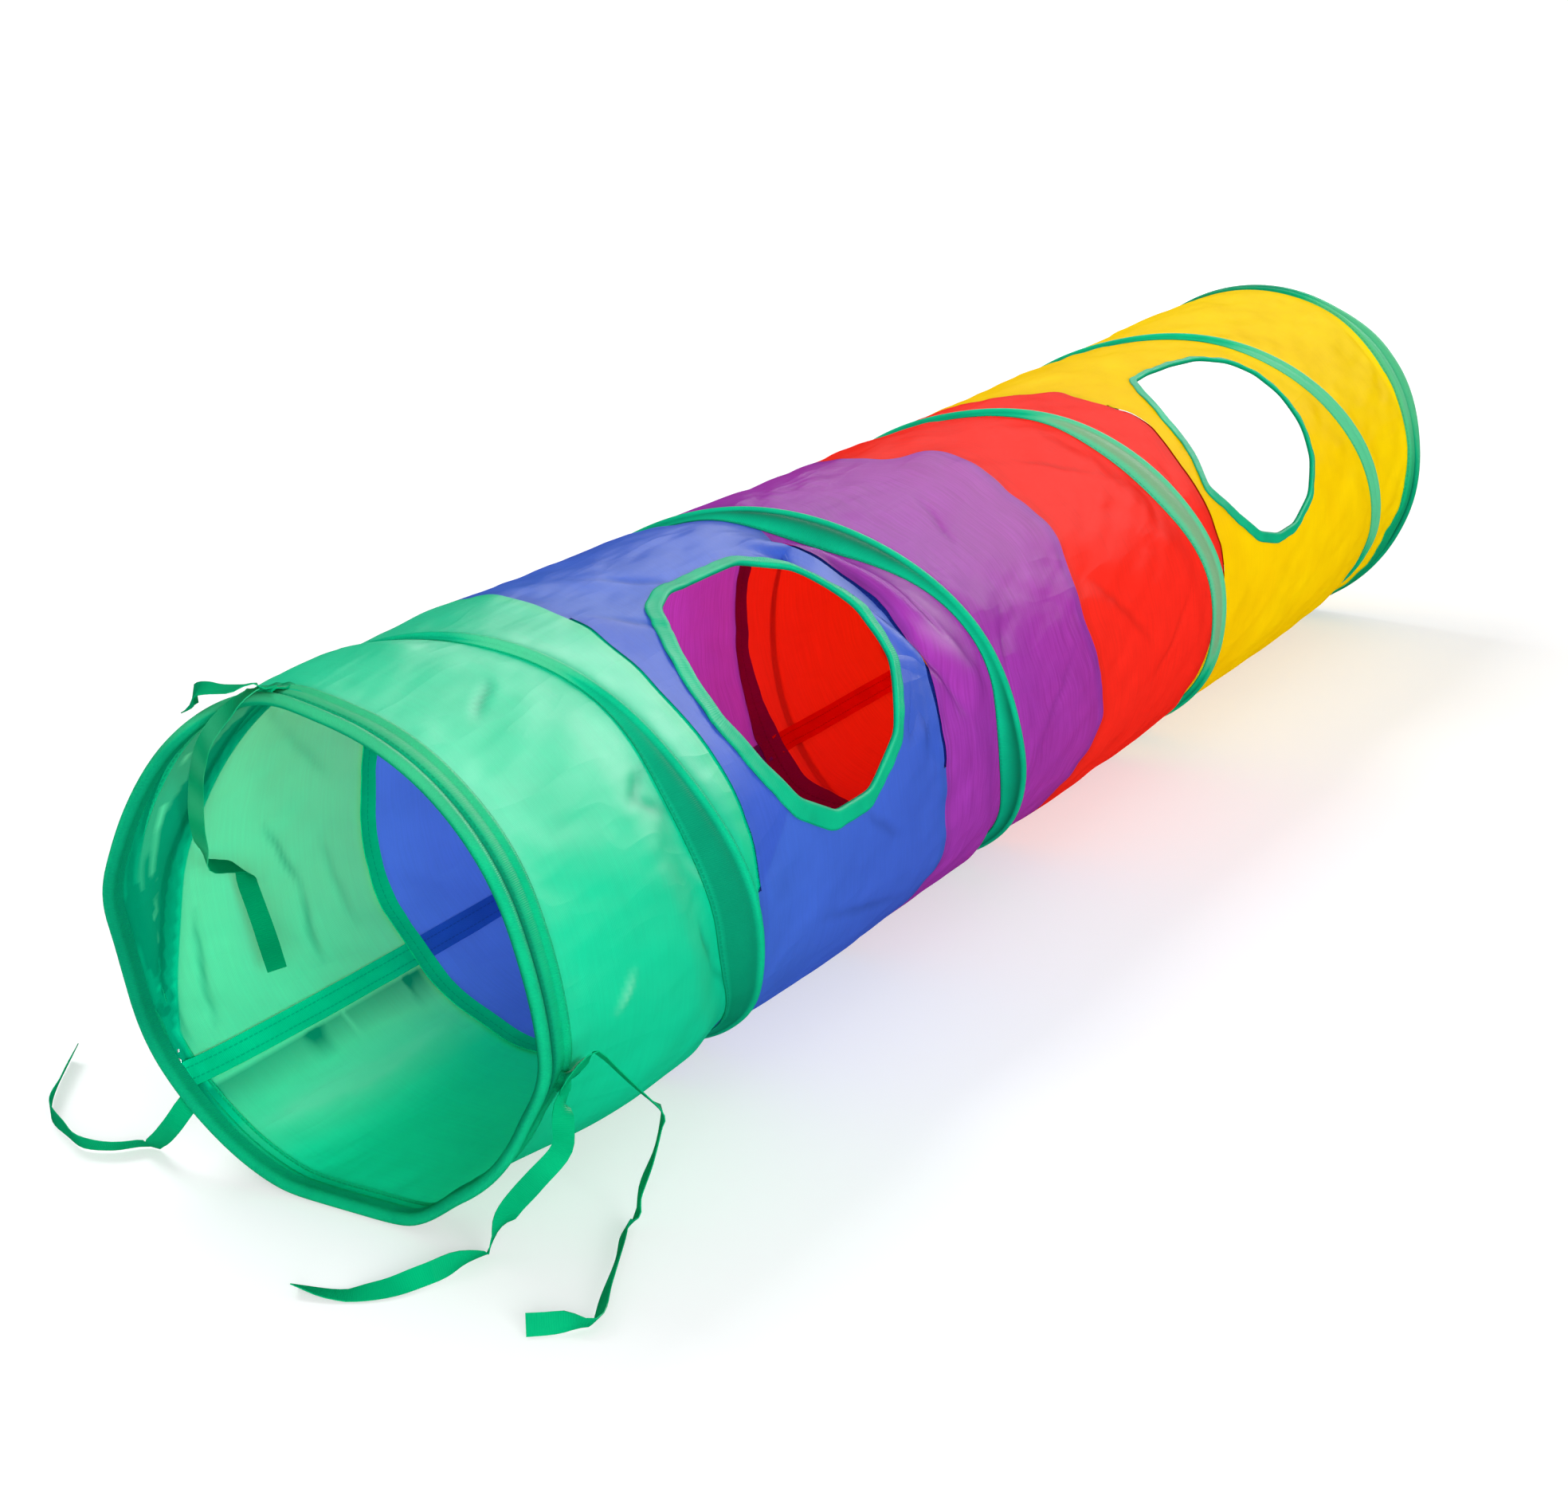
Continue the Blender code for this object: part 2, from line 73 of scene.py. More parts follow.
PANELS = ("green", "blue", "purple", "red", "yellow")
SECTIONS = ("near_end", "blue_section", "purple_section", "red_section", "yellow_section")
SECTION_STARTS = (0.0, 0.156, 0.350, 0.548, 0.735)  # distance at which each begins
SEAM_START = -135.0  # where the coil begins
SEAM_ANGLE = -134.0  # where each piece that goes once round is closed
SEAM_MIDDLE = -131.2  # middle of the lengthwise seam strips
PANEL_INSET = 0.0016  # from a mouth to the edge of the fabric inside its hem
COLLAPSE_SHARE = 0.93  # of the tunnel's length, taken away when it is pressed together

# Where the coil lies: turns from the seam, and the share of the length it has covered
COIL_STATIONS = (
    (0.00, 0.0000), (0.03, 0.0080), (0.07, 0.0190), (0.11, 0.0300), (0.16, 0.0400),
    (0.21, 0.0490), (0.29, 0.0660), (0.36, 0.0815), (0.47, 0.0970), (0.54, 0.1075),
    (0.62, 0.1300), (0.68, 0.1475), (0.76, 0.1770), (1.05, 0.2400), (1.32, 0.3090),
    (1.43, 0.3320), (1.54, 0.3640), (1.62, 0.3830), (1.68, 0.4060), (1.76, 0.4380),
    (2.05, 0.5130), (2.31, 0.5580), (2.42, 0.5900), (2.53, 0.6240), (2.60, 0.6480),
    (2.66, 0.6620), (2.75, 0.6870), (3.10, 0.7480), (3.30, 0.7790), (3.38, 0.8180),
    (3.49, 0.8680), (3.59, 0.9090), (3.68, 0.9380), (3.85, 0.9850), (4.00, 1.0000),
)
COIL_MARGIN = 0.0049  # between a mouth and the end of the coil, where the hoop lies
LAST_TURN = 4  # where the coil ends, in turns from its near end
WIRE_DEPTH = 0.0022  # of the wire's middle, in from the tunnel's outside and from a mouth
HOOP_ADVANCE = 0.0027  # how far a hoop moves along in its one turn

# How the casing tape lies at each turn: width of its sloping face, and how deep that face dips
TAPE_STATIONS = (
    (0.00, 0.010, 0.001), (0.10, 0.012, 0.003), (0.20, 0.014, 0.004), (0.27, 0.012, 0.003),
    (0.33, 0.005, 0.001), (0.45, 0.004, 0.001), (0.50, 0.010, 0.002), (0.54, 0.017, 0.005),
    (0.59, 0.023, 0.007), (0.67, 0.025, 0.008), (0.72, 0.020, 0.006), (0.80, 0.008, 0.003),
    (1.10, 0.007, 0.002), (1.34, 0.006, 0.002), (1.38, 0.014, 0.006), (1.43, 0.020, 0.008),
    (1.47, 0.013, 0.005), (1.51, 0.006, 0.002), (1.57, 0.005, 0.002), (1.62, 0.012, 0.006),
    (1.67, 0.015, 0.008), (1.72, 0.012, 0.005), (1.80, 0.007, 0.003), (2.20, 0.006, 0.002),
    (2.36, 0.003, 0.001), (2.41, 0.006, 0.002), (2.46, 0.015, 0.004), (2.52, 0.018, 0.005),
    (2.56, 0.015, 0.004), (2.60, 0.011, 0.004), (2.68, 0.007, 0.003), (2.80, 0.008, 0.003),
    (3.30, 0.0035, 0.001), (3.40, 0.004, 0.001), (3.46, 0.009, 0.002), (3.55, 0.010, 0.003),
    (3.64, 0.008, 0.002), (3.72, 0.004, 0.001), (3.80, 0.004, 0.001), (4.00, 0.006, 0.001),
)

# Lines where two panels meet, once round the tunnel: angle, distance
GREEN_BLUE_LINE = (
    (-170, 0.181), (-156, 0.184), (-145, 0.181), (-130, 0.182), (-113, 0.177), (-99, 0.176), (-80, 0.181),
    (-50, 0.182), (-30, 0.174), (-17, 0.160), (-3, 0.161), (7, 0.158), (23, 0.152), (40, 0.147),
    (53, 0.151), (67, 0.155), (78, 0.157), (87, 0.158), (107, 0.170), (127, 0.184), (150, 0.184),
)
BLUE_PURPLE_LINE = (
    (-150, 0.366), (-100, 0.362), (-50, 0.366), (-24, 0.376), (-9, 0.372), (5, 0.358), (18, 0.334),
    (27, 0.340), (37, 0.348), (50, 0.358), (60, 0.360), (67, 0.358), (83, 0.358), (100, 0.364),
    (113, 0.371), (122, 0.371), (160, 0.370),
)
PURPLE_RED_LINE = (
    (-165, 0.560), (-155, 0.545), (-145, 0.538), (-131, 0.547), (-121, 0.552), (-112, 0.556), (-88, 0.559),
    (-75, 0.558), (-45, 0.540), (-28, 0.516), (-10, 0.504), (2, 0.520), (7, 0.556), (20, 0.552),
    (33, 0.547), (47, 0.556), (63, 0.548), (73, 0.543), (87, 0.555), (100, 0.568), (107, 0.572),
    (120, 0.561), (132, 0.552), (150, 0.560),
)
RED_YELLOW_LINE = (
    (-150, 0.735), (-90, 0.720), (-50, 0.705), (-26, 0.690), (-12, 0.690), (-3, 0.712), (3, 0.738),
    (13, 0.735), (23, 0.742), (33, 0.751), (47, 0.742), (60, 0.745), (77, 0.750), (90, 0.748),
    (120, 0.756), (170, 0.742),
)

# Outlines of the peep holes, from their middles: along the tunnel, and round it
BLUE_HOLE = (
    (-0.074, 0.000), (-0.072, -0.020), (-0.064, -0.038), (-0.043, -0.066), (-0.021, -0.075),
    (0.043, -0.074), (0.066, -0.052), (0.080, -0.018), (0.081, 0.015), (0.060, 0.050),
    (0.024, 0.071), (-0.011, 0.071), (-0.043, 0.054), (-0.063, 0.028),
)
YELLOW_HOLE = (
    (-0.089, 0.018), (-0.079, -0.007), (-0.073, -0.033), (-0.060, -0.059), (-0.045, -0.074),
    (-0.018, -0.076), (0.015, -0.074), (0.050, -0.068), (0.073, -0.054), (0.086, -0.037),
    (0.092, -0.015), (0.092, 0.011), (0.086, 0.037), (0.066, 0.059), (0.034, 0.072),
    (0.002, 0.072), (-0.031, 0.063), (-0.060, 0.044),
)
# Outline, distance of the middle, and widest and narrowest width of the binding
HOLES = {
    "blue": (BLUE_HOLE, 0.250, 0.0110, 0.0060),
    "yellow": (YELLOW_HOLE, 0.850, 0.0075, 0.0028),
}
HOLE_ANGLE = 50.0
HOLE_HALF = 0.070  # half of what a hole takes round the tunnel
# Section of a binding, from one edge over the rim to the other: share of its width, height over the fabric
BINDING_SECTION = (
    (1.0, 0.0005), (0.93, 0.0009), (0.7, 0.0010), (0.45, 0.0011), (0.22, 0.0014), (0.08, 0.0013),
    (0.0, 0.0006), (0.0, -0.0005), (0.08, -0.0011), (0.25, -0.0012), (0.5, -0.0010), (0.75, -0.0007),
)

# Sharp creases in the fabric: angle and distance of each end, width, depth and how dark it is painted (painted
# shade, or painted light below 0)
CREASES = (
    (-86, 0.100, -104, 0.121, 0.0022, 0.0010, 0.55),
    (-104, 0.121, -122, 0.119, 0.0026, 0.0012, 0.50),
    (-98, 0.049, -123, 0.041, 0.0020, 0.0011, 0.60),
    (-112, 0.024, -125, 0.022, 0.0020, 0.0008, 0.50),
    (-44, 0.064, -60, 0.100, 0.0030, 0.0010, 0.22),
    (-60, 0.100, -81, 0.150, 0.0030, 0.0010, 0.22),
    (-95, 0.140, -118, 0.152, 0.0030, 0.0010, 0.25),
    (-150, 0.030, -147, 0.165, 0.0200, 0.0, -0.30),
    (-148, 0.022, -150, 0.110, 0.0050, 0.0004, -0.40),
    (-152, 0.080, -149, 0.170, 0.0040, 0.0003, -0.35),
    (17, 0.074, 24, 0.050, 0.0022, 0.0014, 0.55),
    (50, 0.114, 57, 0.084, 0.0040, 0.0016, 0.45),
    (57, 0.086, 63, 0.115, 0.0040, 0.0014, 0.40),
    (90, 0.059, 97, 0.050, 0.0022, -0.0012, -0.50),
    (90, 0.115, 104, 0.132, 0.0022, 0.0012, 0.50),
    (104, 0.132, 119, 0.170, 0.0024, 0.0012, 0.50),
    (73, 0.109, 90, 0.144, 0.0030, 0.0010, -0.30),
    (96, 0.150, 116, 0.176, 0.0030, 0.0012, 0.40),
    (30, 0.205, 12, 0.168, 0.0022, 0.0009, 0.35),
    (16, 0.245, -4, 0.205, 0.0024, 0.0009, 0.30),
    (88, 0.270, 100, 0.310, 0.0030, 0.0012, 0.35),
    (110, 0.240, 121, 0.330, 0.0030, 0.0012, 0.35),
    (20, 0.338, 44, 0.352, 0.0026, 0.0014, 0.75),
    (27, 0.345, 58, 0.364, 0.0022, 0.0012, 0.65),
    (36, 0.341, 52, 0.346, 0.0020, 0.0010, 0.60),
    (30, 0.378, 62, 0.398, 0.0110, -0.0010, -0.50),
    (52, 0.366, 66, 0.392, 0.0050, -0.0008, -0.50),
    (40, 0.372, 60, 0.382, 0.0020, 0.0012, 0.45),
    (60, 0.350, 84, 0.340, 0.0030, 0.0012, 0.40),
    (66, 0.342, 78, 0.322, 0.0024, 0.0010, 0.40),
    (84, 0.420, 60, 0.452, 0.0026, 0.0012, 0.35),
    (42, 0.450, 20, 0.470, 0.0026, 0.0010, 0.30),
    (98, 0.480, 80, 0.525, 0.0030, 0.0012, 0.30),
    (66, 0.570, 92, 0.640, 0.0030, 0.0012, 0.30),
    (24, 0.590, 40, 0.650, 0.0030, 0.0012, 0.30),
    (106, 0.650, 84, 0.700, 0.0030, 0.0012, 0.25),
)

# Folds of the green fabric behind the near mouth: angle and run of each end, half width, and how dark it is
# painted (painted shade, or painted light below 0).
# A run is the share of the way from the mouth to the first turn of the coil.
FOLDS = (
    (-46, 0.78, -96, 0.62, 0.20, 0.42),
    (-60, 0.55, -100, 0.30, 0.13, 0.30),
    (-84, 0.12, -108, 0.30, 0.24, 0.40),
    (-66, 0.34, -90, 0.40, 0.045, -0.50),
    (-90, 0.52, -118, 0.60, 0.07, 0.35),
    (-56, 0.92, -120, 0.93, 0.06, -0.15),
)

# Slack waves in the fabric: height, lean in degrees for each metre, length, width and seed
SLACK = (
    (0.90, 260, 0.070, 0.020, 3.1),
    (0.80, -220, 0.080, 0.018, 11.7),
    (0.90, 30, 0.045, 0.050, 23.4),
    (0.35, 120, 0.026, 0.009, 91.4),
)

# The fold behind the blue hole: its distance at an angle, how it leans, and its waves as height, place, width
FOLD_ANGLE = 28
FOLD_DISTANCE = 0.331
FOLD_LEAN = 0.0011
FOLD_WAVES = ((0.0042, 0.017, 0.0110), (-0.0034, -0.001, 0.0055), (0.0016, -0.012, 0.0060))

# Along the back of the top: how far the green fabric billows out, and how far the coil has sunk, by distance
BILLOW = ((0.0, 0.03, 0.07, 0.12, 0.16, 0.20, 0.28), (0.0, 0.0, 0.0040, 0.0030, 0.0024, 0.0006, 0.0))
SLUMP = (
    (0.0, 0.40, 0.44, 0.48, 0.54, 0.60, 0.68, 0.72, 0.78, 0.87, 0.98, 1.05, 1.144),
    (0.0, 0.0008, 0.0036, 0.0036, 0.0034, 0.0038, 0.0034, 0.0048, 0.0030, 0.0022, 0.0014, 0.0, 0.0),
)

# The near mouth is pressed out of round: by angle, how far it stands forward (-X) and is pushed in
MOUTH_SWAY = (
    (-180, -0.006), (-140, -0.007), (-120, -0.009), (-102, -0.007), (-92, -0.010), (-85, -0.015),
    (-76, -0.010), (-60, -0.005), (-32, -0.002), (-16, -0.004), (0, -0.013), (20, -0.017), (42, -0.019),
    (75, -0.020), (90, -0.018), (105, -0.014), (120, -0.010), (142, -0.007),
)
MOUTH_DENT = (
    (-180, 0.0), (-30, 0.0), (-14, 0.0008), (2, 0.005), (42, 0.0058), (76, 0.0072), (92, 0.0045),
    (106, 0.002), (122, 0.002), (136, 0.0),
)

# The far mouth: how wide its hem lies by angle, and how it flares by distance from the mouth
FAR_HEM = (
    (-180, -60, 20, 28, 46, 60, 75, 88, 100, 112, 126, 150, 180),
    (1.0, 0.7, 0.45, 0.5, 0.65, 0.75, 1.1, 1.4, 1.7, 1.85, 1.85, 1.4, 1.0),
)
FLARE = ((0.0, 0.008, 0.020, 0.045, 0.070), (1.0, 0.3, -0.9, -0.3, 0.0))

# Section of the hem: distance from the mouth, and radius less the tunnel's own radius
HEM_SECTION = (
    (0.0198, -0.0030), (0.0190, -0.0012), (0.0180, -0.0005), (0.0170, -0.0004), (0.0160, -0.0009),
    (0.0152, -0.0018), (0.0120, -0.0015), (0.0095, -0.0017), (0.0080, -0.0027), (0.0070, -0.0024),
    (0.0060, -0.0010), (0.0048, -0.0003), (0.0034, 0.0000), (0.0020, -0.0004), (0.0010, -0.0013),
    (0.0006, -0.0026), (0.0010, -0.0040), (0.0020, -0.0050), (0.0034, -0.0053), (0.0060, -0.0050),
    (0.0095, -0.0049),
)
HEM_RIM = 0.006  # depth of the hem's rolled rim
HEM_EDGE = 0.0192  # depth of the hem's free edge, where the coil's tape stops

# Section of a tie's sewn middle: distance from the mouth, and radius less the tunnel's own radius
TAB_SECTION = (
    (0.0150, -0.0004), (0.0095, -0.0004), (0.0062, 0.0006), (0.0034, 0.0014), (0.0006, 0.0009),
    (0.0, -0.0008), (0.0002, -0.0030),
)

# Routes of the free ribbons, from the hem outwards: each point, and the way the ribbon's face looks there
TOP_LONG_ROUTE = (
    ((-0.5723, 0.0358, 0.2417), (0, 0.29, 0.96)),
    ((-0.5765, 0.0358, 0.2417), (0, 0.29, 0.96)),
    ((-0.5790, 0.0462, 0.2320), (-0.81, 0.37, 0.45)),
    ((-0.5790, 0.0584, 0.2187), (-0.9, 0.43, 0.07)),
    ((-0.5674, 0.0757, 0.1989), (-0.89, 0.36, -0.28)),
    ((-0.5551, 0.0893, 0.1787), (-0.89, 0.23, -0.4)),
    ((-0.5465, 0.0978, 0.1601), (-0.89, 0.17, -0.41)),
    ((-0.5399, 0.1017, 0.1455), (-0.87, 0.19, -0.46)),
    ((-0.5335, 0.1039, 0.1338), (0.58, -0.58, 0.57)),
    ((-0.5214, 0.1048, 0.1287), (0.66, -0.38, 0.64)),
    ((-0.5078, 0.1065, 0.1225), (0.64, -0.32, 0.7)),
    ((-0.5000, 0.1091, 0.1091), (0.6, 0.8, 0.09)),
    ((-0.4984, 0.1031, 0.0891), (0.7, 0.7, -0.16)),
    ((-0.5001, 0.0949, 0.0699), (0.71, 0.66, -0.25)),
)
TOP_SHORT_ROUTE = (
    ((-0.5723, 0.0294, 0.2434), (0, 0.23, 0.97)),
    ((-0.5765, 0.0294, 0.2434), (0, 0.23, 0.97)),
    ((-0.5771, 0.0331, 0.2458), (0.44, -0.09, 0.89)),
    ((-0.5791, 0.0409, 0.2426), (-0.19, 0.24, 0.95)),
    ((-0.5792, 0.0525, 0.2405), (-0.12, 0.23, 0.96)),
    ((-0.5751, 0.0646, 0.2374), (-0.36, 0.51, 0.78)),
    ((-0.5672, 0.0759, 0.2305), (-0.78, 0.63, 0.07)),
    ((-0.5594, 0.0857, 0.2211), (0, 0.9, 0.9)),
)
RIGHT_FRONT_ROUTE = (
    ((-0.5723, -0.1207, 0.0852), (0, -0.96, -0.29)),
    ((-0.5765, -0.1207, 0.0852), (0, -0.96, -0.29)),
    ((-0.5793, -0.1228, 0.0744), (-0.87, -0.49, 0.07)),
    ((-0.5783, -0.1205, 0.0614), (-0.96, -0.29, -0.02)),
    ((-0.5827, -0.1095, 0.0463), (-0.97, -0.22, -0.02)),
    ((-0.5830, -0.0963, 0.0296), (-0.93, -0.22, -0.28)),
    ((-0.5790, -0.0850, 0.0120), (0.33, -0.84, -0.43)),
    ((-0.5840, -0.0810, 0.0030), (-0.03, -0.66, -0.75)),
    ((-0.6101, -0.0722, 0.0022), (-0.36, -0.76, 0.54)),
    ((-0.6285, -0.0604, 0.0022), (-0.28, -0.29, 0.91)),
    ((-0.6396, -0.0435, 0.0022), (0.08, 0.04, 0.99)),
    ((-0.6443, -0.0256, 0.0022), (0.51, 0.13, 0.85)),
)
RIGHT_BACK_ROUTE = (
    ((-0.5723, -0.1224, 0.0916), (0, -0.97, -0.23)),
    ((-0.5765, -0.1224, 0.0916), (0.1, -0.9, -0.4)),
    ((-0.5754, -0.1315, 0.1037), (-0.12, -0.82, -0.55)),
    ((-0.5721, -0.1342, 0.1082), (-0.29, -0.59, -0.75)),
    ((-0.5684, -0.1365, 0.1050), (-0.69, 0.27, -0.67)),
    ((-0.5581, -0.1436, 0.0902), (-0.69, 0.31, -0.65)),
    ((-0.5431, -0.1479, 0.0729), (-0.68, 0.37, -0.63)),
    ((-0.5394, -0.1472, 0.0677), (-0.55, 0.83, 0.07)),
    ((-0.5292, -0.1363, 0.0417), (-0.5, 0.84, 0.21)),
    ((-0.5237, -0.1254, 0.0188), (-0.62, 0.77, 0.19)),
    ((-0.5256, -0.1251, 0.0081), (-0.56, 0.73, 0.4)),
    ((-0.5333, -0.1236, 0.0022), (-0.34, 0.83, 0.45)),
    ((-0.5548, -0.1339, 0.0022), (-0.37, 0.83, 0.41)),
    ((-0.5850, -0.1464, 0.0022), (-0.33, 0.77, 0.55)),
    ((-0.6056, -0.1557, 0.0022), (-0.19, 0.75, 0.64)),
    ((-0.6115, -0.1531, 0.0022), (0.05, 0.68, 0.73)),
    ((-0.6187, -0.1428, 0.0022), (0.58, 0.64, -0.51)),
    ((-0.6259, -0.1329, 0.0022), (0.63, 0.59, -0.51)),
)
LEFT_ROUTE = (
    ((-0.5723, 0.0890, 0.0320), (0, 0.71, -0.71)),
    ((-0.5765, 0.0890, 0.0320), (0, 0.71, -0.71)),
    ((-0.5800, 0.0960, 0.0210), (0.7, 0.6, -0.3)),
    ((-0.5770, 0.1080, 0.0090), (0.79, 0.25, 0.56)),
    ((-0.5740, 0.1180, 0.0028), (0.51, 0.43, 0.74)),
    ((-0.5850, 0.1290, 0.0022), (0.63, 0.4, 0.66)),
    ((-0.5900, 0.1440, 0.0022), (0.9, -0.03, 0.45)),
    ((-0.5840, 0.1590, 0.0022), (0.87, -0.43, 0.23)),
    ((-0.5720, 0.1800, 0.0022), (0.72, -0.69, 0.05)),
    ((-0.5470, 0.1980, 0.0022), (0.5, -0.77, -0.41)),
    ((-0.5150, 0.2170, 0.0022), (0.45, -0.76, -0.47)),
)
# Node, route, lay, and the painted shade on the ribbon before and behind its half turn (painted light below 0)
RIBBONS = {
    "top_long_ribbon": ("tie_top_long", TOP_LONG_ROUTE, "hanging", -0.12, 0.5),
    "top_short_ribbon": ("tie_top_short", TOP_SHORT_ROUTE, "loose", 0.0, 0.2),
    "right_front_ribbon": ("tie_right_front", RIGHT_FRONT_ROUTE, "loose", 0.0, 0.0),
    "right_back_ribbon": ("tie_right_back", RIGHT_BACK_ROUTE, "loose", 0.0, 0.0),
    "left_ribbon": ("tie_left", LEFT_ROUTE, "loose", 0.1, 0.1),
}
TABS = {"tie_tab_top": -15.0, "tie_tab_right": 105.0, "tie_tab_left": 225.0}  # angle of each
FLOOR_CLEARANCE = 0.0007  # of a ribbon's middle
FLOOR_DEPTH = 0.0004  # of the floor under the tunnel's own zero
FLOOR_SIZE = 40

# Look of each fabric: strength of its streaks, gloss and roughness of the gloss
PANEL_LOOKS = {
    "green": (0.03, 0.0066, 0.50),
    "blue": (0.04, 0.0026, 0.40),
    "purple": (0.14, 0.0013, 0.32),
    "red": (0.05, 0.0005, 0.32),
    "yellow": (0.02, 0.0003, 0.34),
}
# Levels of red, green and blue for each panel's seam strip, and for the seam ring at its far end
SEAM_LEVELS = {
    "green": ((0, 210, 154), (0, 208, 146)),
    "blue": ((44, 98, 212), (20, 40, 120)),
    "purple": ((130, 34, 120), (150, 8, 66)),
    "red": ((250, 18, 4), (190, 40, 8)),
    "yellow": ((225, 160, 10), (225, 160, 10)),
}

CAMERA_PLACE = (-1.4962, -0.7481, 0.6236)
CAMERA_RIGHT = (0.49188, -0.87066, 0.0)
CAMERA_UP = (0.28299, 0.15988, 0.94570)
CAMERA_AHEAD = (0.82339, 0.46517, -0.32503)
CAMERA_LENS = 66.39  # millimetres, for a sensor 36 wide

# Name, place, target, width, height and power of each lamp. The last one is seen only in the gloss.
LAMPS = (
    ("key", (0.2, 1.8, 2.6), (0, 0, 0.1), 1.6, 1.4, 52),
    ("top", (0.6, -0.6, 2.2), (0, 0, 0.1), 2.2, 1.2, 5),
    ("fill", (-2.9, -2.5, 1.0), (0, 0, 0.1), 2.8, 1.6, 166),
    ("gloss_card", (2.2, -0.1, 1.4), (-0.3, 0, 0.15), 3.4, 1.6, 1900),
)


def srgb(*levels):
    """A linear colour from red, green and blue levels of 0 to 255."""
    shares = [level / 255 for level in levels]
    return tuple(s / 12.92 if s <= 0.04045 else ((s + 0.055) / 1.055) ** 2.4 for s in shares)


def colour_property(name, description, default):
    return FloatVectorProperty(
        name=name, description=description, default=default, min=0, max=1, subtype="COLOR"
    )


def length_property(name, description, default):
    return FloatProperty(name=name, description=description, default=default, min=0, unit="LENGTH")


class TunnelSizes(PropertyGroup):
    radius: length_property("Radius", "From the middle of the tunnel to the outside of its tapes", FRAME_RADIUS)
    flat_depth: length_property("Flat depth", "How far the floor presses the underside in", 0.004)
    cloth_step: length_property("Cloth step", "Distance between the points of the fabric", 0.0024)
    sag: length_property("Sag", "How far the fabric draws in between two turns of the coil", 0.0018)
    wrinkle: length_property("Wrinkle", "Height of the slack wrinkles in the fabric", 0.0013)
    pleat: length_property("Pleat", "Height of the pleats behind the near mouth", 0.0012)
    hem_width: length_property("Hem width", "Width of the band round each mouth", 0.0188)
    band_thickness: length_property("Band thickness", "Thickness of hems, tapes and bindings", 0.0006)
    strip_width: length_property("Seam width", "Width of the lengthwise seam strips", 0.013)
    ring_width: length_property("Ring width", "Width of the turned-in edges between two panels", 0.012)
    tab_width: length_property("Tab width", "Width of the sewn middle of a tie", 0.012)
    ribbon_width: length_property("Ribbon width", "Width of the ribbon ties", 0.010)
    ribbon_thickness: length_property("Ribbon thickness", "Thickness of the ribbon ties", 0.0005)
    wire_radius: length_property("Wire radius", "Radius of the spring wire", 0.001)
    pressed: FloatProperty(
        name="Pressed length", description="Share of its length the fabric keeps when pressed together",
        default=0.037, min=0.01, max=1,
    )


class TunnelColours(PropertyGroup):
    green: colour_property("Green", "Green fabric", srgb(0, 190, 142))
    green_light: colour_property("Green, lit", "Light through the green fabric", srgb(40, 225, 160))
    # Painted light: a paler colour for the light through the back half of the green panel, where it is lit from
    # behind
    green_back_painted_light: colour_property("Green, back", "Light through the back of the green fabric", srgb(142, 188, 138))
    blue: colour_property("Blue", "Blue fabric", srgb(62, 98, 194))
    blue_light: colour_property("Blue, lit", "Light through the blue fabric", srgb(88, 128, 236))
    purple: colour_property("Purple", "Purple fabric", srgb(156, 60, 170))
    purple_light: colour_property("Purple, lit", "Light through the purple fabric", srgb(205, 60, 180))
    red: colour_property("Red", "Red fabric", srgb(255, 48, 34))
    red_light: colour_property("Red, lit", "Light through the red fabric", srgb(255, 30, 3))
    yellow: colour_property("Yellow", "Yellow fabric", srgb(255, 216, 6))
    yellow_light: colour_property("Yellow, lit", "Light through the yellow fabric", srgb(255, 212, 10))
    band: colour_property("Bands", "Hems, casing tape and bindings", srgb(10, 190, 142))
    band_light: colour_property("Bands, lit", "Light through the bands", srgb(110, 225, 175))
    ribbon: colour_property("Ribbons", "Ribbon ties", srgb(0, 168, 112))
    steel: colour_property("Wire", "Spring wire", (0.45, 0.45, 0.46))
    floor: colour_property("Floor", "Floor under the tunnel", (0.60, 0.60, 0.63))


# Working in Blender


def deselect_all():
    if bpy.context.object and bpy.context.object.mode != "OBJECT":
        bpy.ops.object.mode_set(mode="OBJECT")
    bpy.ops.object.select_all(action="DESELECT")


def select_only(obj):
    deselect_all()
    obj.select_set(True)
    bpy.context.view_layer.objects.active = obj


def edit_whole(obj, operator, **settings):
    """Runs a mesh operator on every part of a mesh."""
    select_only(obj)
    bpy.ops.object.mode_set(mode="EDIT")
    bpy.ops.mesh.select_all(action="SELECT")
    operator(**settings)
    bpy.ops.object.mode_set(mode="OBJECT")


def points_of(obj):
    points = np.empty(len(obj.data.vertices) * 3)
    obj.data.vertices.foreach_get("co", points)
    return points.reshape(-1, 3)


def set_points(obj, points):
    obj.data.vertices.foreach_set("co", np.asarray(points, float).ravel())
    obj.data.update()


def flat_cloth(name, length, width, along, across):
    """A flat sheet of so many steps along X and across Y, with its UV map in metres."""
    deselect_all()
    bpy.ops.mesh.primitive_grid_add(x_subdivisions=along, y_subdivisions=across, size=1)
    obj = bpy.context.object
    obj.name = name
    obj.data.name = name
    bpy.ops.object.mode_set(mode="EDIT")
    bpy.ops.transform.resize(value=(length, width, 1))
    bpy.ops.object.mode_set(mode="OBJECT")
    uv = obj.data.uv_layers.active.data
    flat = np.empty(len(uv) * 2)
    uv.foreach_get("uv", flat)
    uv.foreach_set("uv", (flat.reshape(-1, 2) * (length, width)).ravel())
    return obj


def sew_up(obj, distance=0.0004):
    """Joins edges that lie on each other."""
    edit_whole(obj, bpy.ops.mesh.remove_doubles, threshold=distance)


def smooth_shading(obj, degrees=60.0):
    select_only(obj)
    bpy.ops.object.shade_smooth_by_angle(angle=math.radians(degrees))


